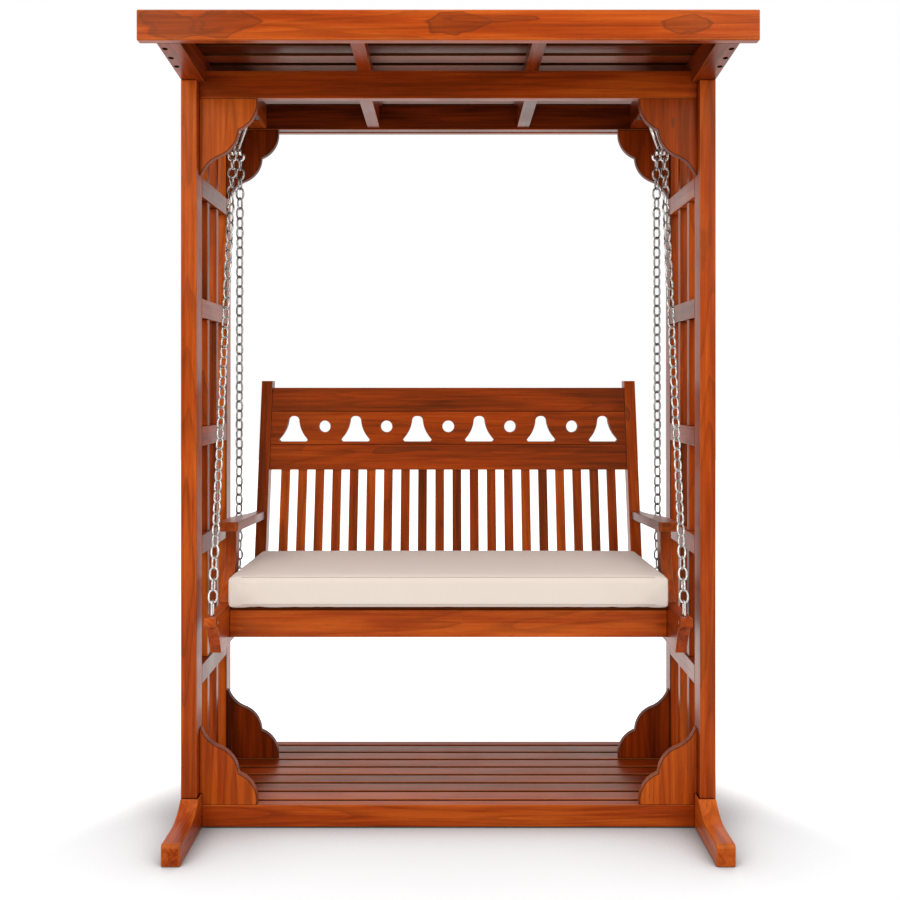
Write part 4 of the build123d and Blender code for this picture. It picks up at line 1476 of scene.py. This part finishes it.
@dataclass
class HangingGear:
    """Hangers, pins, hooks, chains and eyes."""

    nodes: dict[str, bpy.types.Object]
    links: WireWork = WireWork(sides=6, steps=4)
    fittings: WireWork = WireWork(sides=14, steps=14)
    link_wire: float = 5.4 * MM
    eye_wire: float = 5.0 * MM
    hook_wire: float = 6.4 * MM
    hook_r: float = 10.0 * MM
    hook_drop: float = 12.0 * MM
    tip_rise: float = 7.0 * MM
    pin_eye: float = 20.8 * MM
    pin_eye_wire: float = 5.6 * MM
    shank_top: float = 8.5 * MM
    bolt: EyeBolt = EyeBolt()
    arris: float = 0.5 * MM

    def build(self) -> None:
        """Make all the metalwork."""
        bright = BrightSteel("bright_chain_steel", (0.50, 0.48, 0.45, 1.0), (0.22, 0.21, 0.20, 1.0)).build()
        # The back chains and eyes take the same steel darkened: painted shade.
        dark = BrightSteel("chain_steel_painted_shade", (0.34, 0.33, 0.32, 1.0), (0.12, 0.12, 0.12, 1.0)).build()
        fitting = BrightSteel("fitting_steel", (0.72, 0.70, 0.66, 1.0), (0.40, 0.38, 0.36, 1.0)).build()
        for side in SIDES:
            self.chain(f"{side}_front_chain", bright)
            self.chain(f"{side}_back_chain", dark)
        self.hooks(fitting)
        self.front_eyes(bright)
        self.back_eyes(dark)
        self.eased("hangers", Body.FRAME, fitting)
        self.eased("pivot_pins", Body.FRAME, fitting)
        self.eased("front_cross_bolts", Body.SWING, fitting)

    def boxes_of(self, node: str) -> list[tuple[Vector, Vector]]:
        """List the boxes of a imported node's separate solids.

        Args:
            node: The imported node.

        Returns:
            The lowest and highest corner of each.
        """
        bm = merged_copy(self.nodes[node])
        boxes = [corners_of(group) for group in islands(bm)]
        bm.free()
        return boxes

    def hang(self, name: str, bm: bmesh.types.BMesh, node: str, steel: bpy.types.Material,
             angle: float) -> None:
        """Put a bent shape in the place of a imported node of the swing.

        Args:
            name: Name of the new piece.
            bm: Its bmesh.
            node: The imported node.
            steel: Its finish.
            angle: Corners sharper than this many degrees stay sharp.
        """
        bmesh.ops.recalc_face_normals(bm, faces=bm.faces)
        piece = object_from(name, bm)
        rounded_shading(piece.data, angle)
        attach(piece, Body.SWING, steel)
        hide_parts(node)
        LOG.info("metalwork %s: %d faces", name, len(piece.data.polygons))

    def eased(self, node: str, body: Body, steel: bpy.types.Material) -> None:
        """Replace a packed fitting with a copy whose edges are broken.

        Args:
            node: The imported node.
            body: The body it belongs to.
            steel: Its finish.
        """
        bm = merged_copy(self.nodes[node])
        round_edges(bm, outside_corners(bm), self.arris, 2)
        piece = object_from(f"{node}_steel", bm)
        even_shading(piece)
        attach(piece, body, steel)
        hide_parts(node)
        LOG.info("fitting %s: %d faces", piece.name, len(piece.data.polygons))

    def chain(self, node: str, steel: bpy.types.Material) -> None:
        """Hang one chain, a round-wire link in the place of each packed one.

        Args:
            node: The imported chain.
            steel: Its finish.
        """
        bm = bmesh.new()
        lies = lies_of(self.nodes[node])
        shape = self.links.long_ring(lies[0].length, lies[0].width, self.link_wire)
        for lie in lies:
            add_copy(bm, shape, lie.place)
        shape.free()
        self.hang(f"{node}_links", bm, node, steel, 80.0)

    def pivots(self) -> list[Vector]:
        """Find the middle of each pin with its nut.

        Returns:
            The middles, left and then right.
        """
        boxes = self.boxes_of("pivot_pins")
        spots = []
        for sign in (-1.0, 1.0):
            near = [corner for box in boxes if sign * (box[0].x + box[1].x) > 0.0 for corner in box]
            low = Vector(tuple(min(corner[axis] for corner in near) for axis in range(3)))
            high = Vector(tuple(max(corner[axis] for corner in near) for axis in range(3)))
            spots.append((low + high) / 2.0)
        return spots

    def hooks(self, steel: bpy.types.Material) -> None:
        """Bend the two hooks and the eye that hangs on each pin.

        Args:
            steel: Their finish.
        """
        bm = bmesh.new()
        eye = self.fittings.round_ring(self.pin_eye, self.pin_eye_wire)
        for pivot in self.pivots():
            add_copy(bm, eye, Matrix.Translation(pivot) @ QUARTER_TURN)
            for way in (-1.0, 1.0):
                self.hook(bm, pivot, way)
        eye.free()
        self.hang("swing_hooks", bm, "double_hooks", steel, 60.0)

    def hook(self, bm: bmesh.types.BMesh, pivot: Vector, way: float) -> None:
        """Bend one hook down from the eye, round and up to its tip.

        Args:
            bm: The bmesh to add to.
            pivot: Middle of the pin.
            way: Which way it opens, -1 to the left and 1 to the right.
        """
        down = Vector((0.0, 0.0, -1.0))
        start = pivot + down * self.shank_top
        centre = pivot + down * self.hook_drop + Vector((way * self.hook_r, 0.0, 0.0))
        verts = self.fittings.section(bm, self.hook_wire / 2.0, start, down)
        verts = self.fittings.run(bm, verts, down * (self.hook_drop - self.shank_top))
        verts = self.fittings.bend(bm, verts, centre, Vector((0.0, -way, 0.0)))
        verts = self.fittings.run(bm, verts, down * -self.tip_rise)
        self.fittings.dome(bm, verts, self.hook_wire / 2.0)

    def front_eyes(self, steel: bpy.types.Material) -> None:
        """Bend the long eyes that stand in the noses of the side beams.

        Args:
            steel: Their finish.
        """
        bm = bmesh.new()
        for low, high in self.boxes_of("front_chain_eyes"):
            eye = self.fittings.long_ring(high.z - low.z, high.y - low.y, self.eye_wire)
            add_copy(bm, eye, Matrix.Translation((low + high) / 2.0) @ QUARTER_TURN)
            eye.free()
        self.hang("front_eyes", bm, "front_chain_eyes", steel, 60.0)

    def back_eyes(self, steel: bpy.types.Material) -> None:
        """Bend the rings of the back eye bolts and add their shanks, collars and nuts.

        Args:
            steel: Their finish.
        """
        bm = bmesh.new()
        bolt = self.bolt
        round_sides = self.fittings.sides
        ring = self.fittings.round_ring(bolt.ring, self.eye_wire)
        beam_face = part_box("right_seat_beam")[1].x
        for low, high in self.boxes_of("back_eye_bolts"):
            sign = math.copysign(1.0, low.x + high.x)
            inner, outer = sorted((abs(low.x), abs(high.x)))
            ring_x = outer - bolt.ring / 2.0
            middle = Vector((sign * ring_x, (low.y + high.y) / 2.0, (low.z + high.z) / 2.0))
            add_copy(bm, ring, Matrix.Translation(middle))
            shank_end = ring_x - (bolt.ring - self.eye_wire) / 2.0
            self.rod(bm, middle, (beam_face, shank_end), bolt.shank_r, round_sides)
            self.rod(bm, middle, (beam_face, beam_face + bolt.collar), bolt.nut_r, bolt.nut_sides)
            self.rod(bm, middle, (inner, inner + bolt.nut), bolt.nut_r, bolt.nut_sides)
            self.rod(bm, middle, (inner - bolt.thread, inner), bolt.thread_r, round_sides)
        ring.free()
        self.hang("back_eyes", bm, "back_eye_bolts", steel, 40.0)

    def rod(self, bm: bmesh.types.BMesh, middle: Vector, span: tuple[float, float], radius: float,
            sides: int) -> None:
        """Add a round or hexagonal bar along X, with its corners broken.

        Args:
            bm: The bmesh to add to.
            middle: A point whose Y and Z it goes through, on its own side of the object.
            span: How far its ends are from the middle of the object.
            radius: Radius over its corners.
            sides: Its corners.
        """
        start, stop = span
        spot = Vector((math.copysign((start + stop) / 2.0, middle.x), middle.y, middle.z))
        place = Matrix.Translation(spot) @ Matrix.Rotation(math.radians(90.0), 4, "Y")
        bar = bmesh.new()
        bmesh.ops.create_cone(bar, cap_ends=True, cap_tris=False, segments=sides, radius1=radius,
                              radius2=radius, depth=stop - start, matrix=place)
        round_edges(bar, outside_corners(bar, 40.0), self.arris, 2, clamp=True)
        add_copy(bm, bar, Matrix.Identity(4))
        bar.free()


# ---- cushion -----------------------------------------------------------------
@dataclass(frozen=True)
class Filling:
    """How stiff the cushion's cover is, and how hard its filling presses on it."""

    pressure: float = 4.0
    stiffness: float = 25.0
    bending: float = 4.0
    mass: float = 0.3
    quality: int = 5
    frames: int = 20
    furthest: float = 12.0 * MM


@dataclass
class BoxCushion:
    """The seat's one long box cushion, swollen by its filling."""

    fill: float = 0.75
    filling: Filling = Filling()
    shrink: float = 6.0 * MM
    corner: float = 17.0 * MM
    corner_steps: int = 6
    roll: float = 13.0 * MM
    roll_steps: int = 5
    panel: float = 20.0 * MM
    voxel: float = 6.0 * MM
    spare: float = 3.0 * MM
    boxiness: tuple[float, float, float] = (1.25, 1.25, 1.8)
    crown: float = 7.0 * MM
    rise: tuple[float, float] = (-3.0 * MM, 9.0 * MM)
    taper: float = 22.0 * MM
    waist: tuple[float, float] = (2.0 * MM, 1.5 * MM)
    inset: float = 1.5 * MM
    droop: float = 5.0 * MM
    overhang: float = 34.0 * MM
    seam_r: float = 0.9 * MM
    seam_inset: float = 6.5 * MM
    seam_sides: int = 8
    seam_room: float = 20.0 * MM
    seam_corner: float = 30.0 * MM
    seam_steps: tuple[int, int] = (90, 28)
    low: Vector = field(default_factory=lambda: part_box("cushion")[0])
    high: Vector = field(default_factory=lambda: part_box("cushion")[1])

    def build(self) -> None:
        """Make the cushion and its seams."""
        cover = CoverCloth("cushion_cover").build()
        piece = object_from("seat_cushion", self.shell())
        self.swell(piece)
        self.settle(piece)
        rounded_shading(piece.data, 80.0)
        attach(piece, Body.SWING, cover)
        # The seams are darker than the cover; their colour also paints the thin shadow line along them.
        thread = CoverCloth("seam_thread_and_shadow", (0.42, 0.34, 0.29, 1.0), (0.34, 0.28, 0.24, 1.0)).build()
        heights = {"upper": self.high.z - self.seam_inset, "lower": self.low.z + self.seam_inset}
        for name, height in heights.items():
            seam = object_from(f"cushion_{name}_seam", self.seam(piece, height))
            rounded_shading(seam.data, 80.0)
            attach(seam, Body.SWING, thread)
        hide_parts("cushion")
        LOG.info("cushion: %d faces", len(piece.data.polygons))

    def shell(self) -> bmesh.types.BMesh:
        """Make the sewn shell before it is filled.

        Returns:
            A bmesh of a block with round upright corners and rolled edges, in small panels.
        """
        size = self.high - self.low - Vector((2.0 * self.shrink,) * 3)
        bm = bmesh.new()
        bmesh.ops.create_cube(bm, size=1.0)
        bmesh.ops.scale(bm, vec=size, verts=bm.verts)
        upright = [edge for edge in bm.edges
                   if abs(edge.verts[0].co.z - edge.verts[1].co.z) > size.z / 2.0]
        round_edges(bm, upright, self.corner, self.corner_steps, clamp=True)
        rims = [edge for edge in bm.edges if edge.calc_face_angle(0.0) > math.radians(60.0)]
        round_edges(bm, rims, self.roll, self.roll_steps, clamp=True)
        for axis in range(3):
            normal = Vector(tuple(1.0 if other == axis else 0.0 for other in range(3)))
            reach = size[axis] / 2.0
            count = max(3, round(size[axis] / self.panel))
            for step in range(1, count):
                spot = normal * (2.0 * reach * step / count - reach)
                bmesh.ops.bisect_plane(bm, geom=[*bm.verts, *bm.edges, *bm.faces], dist=1e-6,
                                       plane_co=spot, plane_no=normal)
        bmesh.ops.translate(bm, verts=bm.verts, vec=(self.low + self.high) / 2.0)
        bmesh.ops.recalc_face_normals(bm, faces=bm.faces)
        return bm

    def swell(self, piece: bpy.types.Object) -> None:
        """Fill the shell as cloth under pressure, and keep the result in its mesh.

        Args:
            piece: The shell, which is changed.
        """
        remesh = piece.modifiers.new("even_mesh", "REMESH")
        remesh.mode = "VOXEL"
        remesh.voxel_size = self.voxel
        self.keep_result(piece)
        before = [vert.co.copy() for vert in piece.data.vertices]
        self.blow_up(piece)
        moved = 0.0
        for vert, start in zip(piece.data.vertices, before):
            step = vert.co - start
            moved = max(moved, step.length)
            if step.length > self.filling.furthest:
                vert.co = start + step * (self.filling.furthest / step.length)
        LOG.info("cushion swelled by up to %.1f mm", moved / MM)
        finer = piece.modifiers.new("finer", "SUBSURF")
        finer.levels = 1
        finer.render_levels = 1
        self.keep_result(piece)

    def blow_up(self, piece: bpy.types.Object) -> None:
        """Run the cloth under the filling's pressure, and keep its last frame.

        Args:
            piece: The even shell, which is changed.
        """
        cloth = piece.modifiers.new("filling", "CLOTH")
        cloth.settings.quality = self.filling.quality
        cloth.settings.mass = self.filling.mass
        cloth.settings.tension_stiffness = self.filling.stiffness
        cloth.settings.compression_stiffness = self.filling.stiffness
        cloth.settings.bending_stiffness = self.filling.bending
        cloth.settings.use_pressure = True
        cloth.settings.uniform_pressure_force = self.filling.pressure
        cloth.settings.effector_weights.gravity = 0.0
        cloth.collision_settings.use_collision = False
        cloth.point_cache.frame_start = 1
        cloth.point_cache.frame_end = self.filling.frames
        scene = bpy.context.scene
        for frame_number in range(1, self.filling.frames + 1):
            scene.frame_set(frame_number)
        self.keep_result(piece)
        scene.frame_set(1)

    def keep_result(self, piece: bpy.types.Object) -> None:
        """Turn what the modifiers of a piece give into its plain mesh.

        Args:
            piece: The piece, whose modifiers are then removed.
        """
        graph = bpy.context.evaluated_depsgraph_get()
        graph.update()
        mesh = bpy.data.meshes.new_from_object(piece.evaluated_get(graph))
        piece.modifiers.clear()
        old = piece.data
        piece.data = mesh
        bpy.data.meshes.remove(old)

    def settle(self, piece: bpy.types.Object) -> None:
        """Crown the top, draw the sides in between the corners and lay the underside on the seat.

        Each vertex gets its share of the way from the middle to each side, from -1 to 1. Its new
        place follows from the three shares.

        Args:
            piece: The cushion, which is changed.
        """
        middle, half = (self.low + self.high) / 2.0, (self.high - self.low) / 2.0
        reach = [max(abs(vert.co[axis] - middle[axis]) for vert in piece.data.vertices)
                 for axis in range(3)]
        for vert in piece.data.vertices:
            share = [self.boxed((vert.co[axis] - middle[axis]) / reach[axis], self.boxiness[axis])
                     for axis in range(3)]
            back = (share[1] + 1.0) / 2.0
            pull_x = self.waist[0] * (1.0 - share[1] ** 2) * share[0]
            pull_y = self.waist[1] * (1.0 - share[0] ** 4) * share[1]
            half_x = half.x + self.spare - self.taper * back ** 2
            vert.co.x = middle.x + share[0] * half_x - pull_x
            vert.co.y = middle.y + share[1] * half.y - pull_y
            crown = self.crown * (1.0 - share[0] ** 6) * (1.0 - share[1] ** 4)
            lift = crown + self.rise[0] * (1.0 - back) + self.rise[1] * back
            height = middle.z + share[2] * (half.z - self.inset) + lift * max(0.0, share[2])
            past_seat = 2.0 * (self.low.y + self.overhang - vert.co.y) / self.overhang
            hang = self.droop * min(1.0, max(0.0, past_seat)) * (1.0 - share[2]) / 2.0
            vert.co.z = max(self.low.z, height) - hang
        piece.data.update()

    @staticmethod
    def boxed(share: float, power: float) -> float:
        """Push a share of the way from the middle out towards the side.

        Args:
            share: The share, from -1 to 1.
            power: How hard it is pushed.

        Returns:
            The new share.
        """
        return math.copysign(1.0 - (1.0 - min(1.0, abs(share))) ** power, share)

    def seam(self, piece: bpy.types.Object, height: float) -> bmesh.types.BMesh:
        """Lay a fine raised seam round the cushion's sides.

        Args:
            piece: The finished cushion.
            height: Height that the seam runs at.

        Returns:
            The bmesh of the seam.
        """
        tree = BVHTree.FromObject(piece, bpy.context.evaluated_depsgraph_get())
        path = []
        for spot, inward in self.way_round(height):
            hit, normal, _, _ = tree.ray_cast(spot, inward)
            if hit is not None:
                path.append(hit + normal * self.seam_r * 0.1)
        return tube_round(path, self.seam_r, self.seam_sides)

    def way_round(self, height: float) -> list[tuple[Vector, Vector]]:
        """List points outside the cushion's four sides, going round it anticlockwise.

        Args:
            height: Height of the points.

        Returns:
            Each point, and the way in from it.
        """
        long_count, short_count = self.seam_steps
        xs = [self.along(self.low.x, self.high.x, step / long_count) for step in range(long_count + 1)]
        ys = [self.along(self.low.y, self.high.y, step / short_count) for step in range(short_count + 1)]
        left, right = self.low.x - self.seam_room, self.high.x + self.seam_room
        front, back = self.low.y - self.seam_room, self.high.y + self.seam_room
        in_x, in_y = Vector((1.0, 0.0, 0.0)), Vector((0.0, 1.0, 0.0))
        return [*((Vector((x, front, height)), in_y) for x in xs),
                *((Vector((right, y, height)), -in_x) for y in ys),
                *((Vector((x, back, height)), -in_y) for x in reversed(xs)),
                *((Vector((left, y, height)), in_x) for y in reversed(ys))]

    def along(self, start: float, stop: float, share: float) -> float:
        """Give a place on a side, between its two rounded corners."""
        return start + self.seam_corner + (stop - start - 2.0 * self.seam_corner) * share


# ---- studio ------------------------------------------------------------------
@dataclass(frozen=True)
class Softbox:
    """One soft area light."""

    name: str
    spot: tuple[float, float, float]
    aim: tuple[float, float, float]
    size: tuple[float, float]
    watts: float


@dataclass(frozen=True)
class Studio:
    """White seamless studio with soft light and the camera in front."""

    boxes: tuple[Softbox, ...] = (
        Softbox("key_light", (-2.4, -3.4, 2.7), (0.0, 0.0, 1.0), (2.2, 2.2), 66.0),
        Softbox("fill_light", (2.4, -3.4, 2.5), (0.0, 0.0, 0.9), (2.2, 2.2), 52.0),
        Softbox("top_light", (0.0, -1.1, 4.4), (0.0, -0.1, 0.8), (3.4, 3.0), 105.0),
    )
    ambient: float = 0.50
    floor_size: float = 12.0
    floor_tones: tuple[Colour, Colour] = ((0.885, 0.900, 0.905, 1.0), (0.900, 0.915, 0.920, 1.0))
    fade: tuple[float, float] = (0.78, 1.20)
    fade_centre: tuple[float, float, float] = (0.0, -0.45, 0.0)
    fade_scale: tuple[float, float, float] = (0.80, 1.50, 1.0)
    glow: tuple[float, float] = (0.05, 0.95)
    # Reach and depth of the painted contact shadow on the floor.
    painted_shadow_reach: float = 0.36
    painted_shadow_depth: float = 0.08
    camera_spot: tuple[float, float, float] = (0.0, -2.643, 1.121)
    lens: float = 39.2
    sensor: float = 36.0
    shift: tuple[float, float] = (0.0019, -0.0722)

    def build(self) -> None:
        """Set up the floor, the backdrop, the lights and the camera."""
        self.floor()
        self.world()
        for box in self.boxes:
            self.light(box)
        self.camera()
        bpy.context.scene.view_settings.view_transform = "Standard"

    def floor(self) -> None:
        """Lay a pale floor with the object's shadow and painted contact shadow, fading to white round it.
        """
        bm = bmesh.new()
        bmesh.ops.create_grid(bm, x_segments=2, y_segments=2, size=self.floor_size)
        ground = object_from("studio_floor", bm)
        material, sheet, shader = material_sheet("studio_floor")
        where = sheet.place()
        # Ambient occlusion darkens the floor's colour near the object: painted contact shadow.
        near = sheet.add("ShaderNodeAmbientOcclusion", samples=8)
        near.inputs["Distance"].default_value = self.painted_shadow_reach
        painted_shadow_factor = sheet.ramp(near.outputs["AO"], 0.0, 1.0, (self.painted_shadow_depth, 1.0), smooth=False)
        tone = sheet.blend(sheet.noise(where, 0.6, 1.0), *self.floor_tones)
        sheet.put(sheet.blend(painted_shadow_factor, (0.0, 0.0, 0.0, 1.0), tone), shader.inputs["Base Color"])
        shader.inputs["Roughness"].default_value = 0.95
        shader.inputs["Specular IOR Level"].default_value = 0.0

        offset = sheet.vector("SUBTRACT", where, self.fade_centre)
        reach = sheet.length(sheet.stretch(offset, self.fade_scale))
        glow = sheet.times(sheet.backdrop_rays(), sheet.ramp(reach, *self.fade, self.glow), painted_shadow_factor)
        light = sheet.add("ShaderNodeEmission")
        sheet.put(glow, light.inputs["Strength"])
        both = sheet.add("ShaderNodeAddShader")
        sheet.put(shader.outputs[0], both.inputs[0])
        sheet.put(light.outputs[0], both.inputs[1])
        output = next(node for node in sheet.tree.nodes if node.type == "OUTPUT_MATERIAL")
        sheet.put(both.outputs[0], output.inputs["Surface"])
        ground.data.materials.append(material)
        ground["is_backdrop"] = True

    def world(self) -> None:
        """Surround the object with soft white light and a white background."""
        world = bpy.data.worlds.new("studio")
        bpy.context.scene.world = world
        world.use_nodes = True
        sheet = NodeSheet(world.node_tree)
        strength = sheet.ramp(sheet.backdrop_rays(), 0.0, 1.0, (self.ambient, 1.0), smooth=False)
        background = sheet.add("ShaderNodeBackground")
        sheet.put(strength, background.inputs["Strength"])
        background.inputs["Color"].default_value = (1.0, 1.0, 1.0, 1.0)
        output = sheet.add("ShaderNodeOutputWorld")
        sheet.put(background.outputs[0], output.inputs["Surface"])

    def light(self, box: Softbox) -> None:
        """Hang one soft light.

        Args:
            box: What it is and where.
        """
        lamp = bpy.data.lights.new(box.name, "AREA")
        lamp.shape = "RECTANGLE"
        lamp.size, lamp.size_y = box.size
        lamp.energy = box.watts
        holder = bpy.data.objects.new(box.name, lamp)
        holder.location = box.spot
        aim = Vector(box.aim) - Vector(box.spot)
        holder.rotation_euler = aim.to_track_quat("-Z", "Y").to_euler()
        bpy.context.scene.collection.objects.link(holder)

    def camera(self) -> None:
        """Set the camera in front, level with the middle of the object."""
        view = bpy.data.cameras.new("front_view")
        view.sensor_width = self.sensor
        view.lens = self.lens
        view.shift_x, view.shift_y = self.shift
        view.clip_end = 60.0
        holder = bpy.data.objects.new("front_view", view)
        holder.location = self.camera_spot
        holder.rotation_euler = (math.radians(90.0), 0.0, 0.0)
        bpy.context.scene.collection.objects.link(holder)
        bpy.context.scene.camera = holder


# ---- the whole ---------------------------------------------------------------
def plain(bounds: object) -> object:
    """Turn bounds into plain lists of numbers.

    Args:
        bounds: Vectors, lists or numbers.

    Returns:
        The same as nested lists of floats.
    """
    if isinstance(bounds, (int, float)):
        return float(bounds)
    return [plain(item) for item in bounds]


def main() -> None:
    """Dress the whole object and set up the studio."""
    logging.basicConfig(level=logging.INFO, format="%(name)s: %(message)s")
    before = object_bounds()
    nodes = frame["nodes"]
    for make in (make_timber_group, make_wear_group, make_smudge_group, make_weave_group):
        make()
    work = TimberWork(nodes)
    for part in (StandingFrame(work), Roof(work), Platform(work), Bench(work)):
        part.build()
    HangingGear(nodes).build()
    BoxCushion().build()
    Studio().build()
    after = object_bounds()
    {"before": plain(before), "after": plain(after)}


if __name__ == "__main__":
    main()
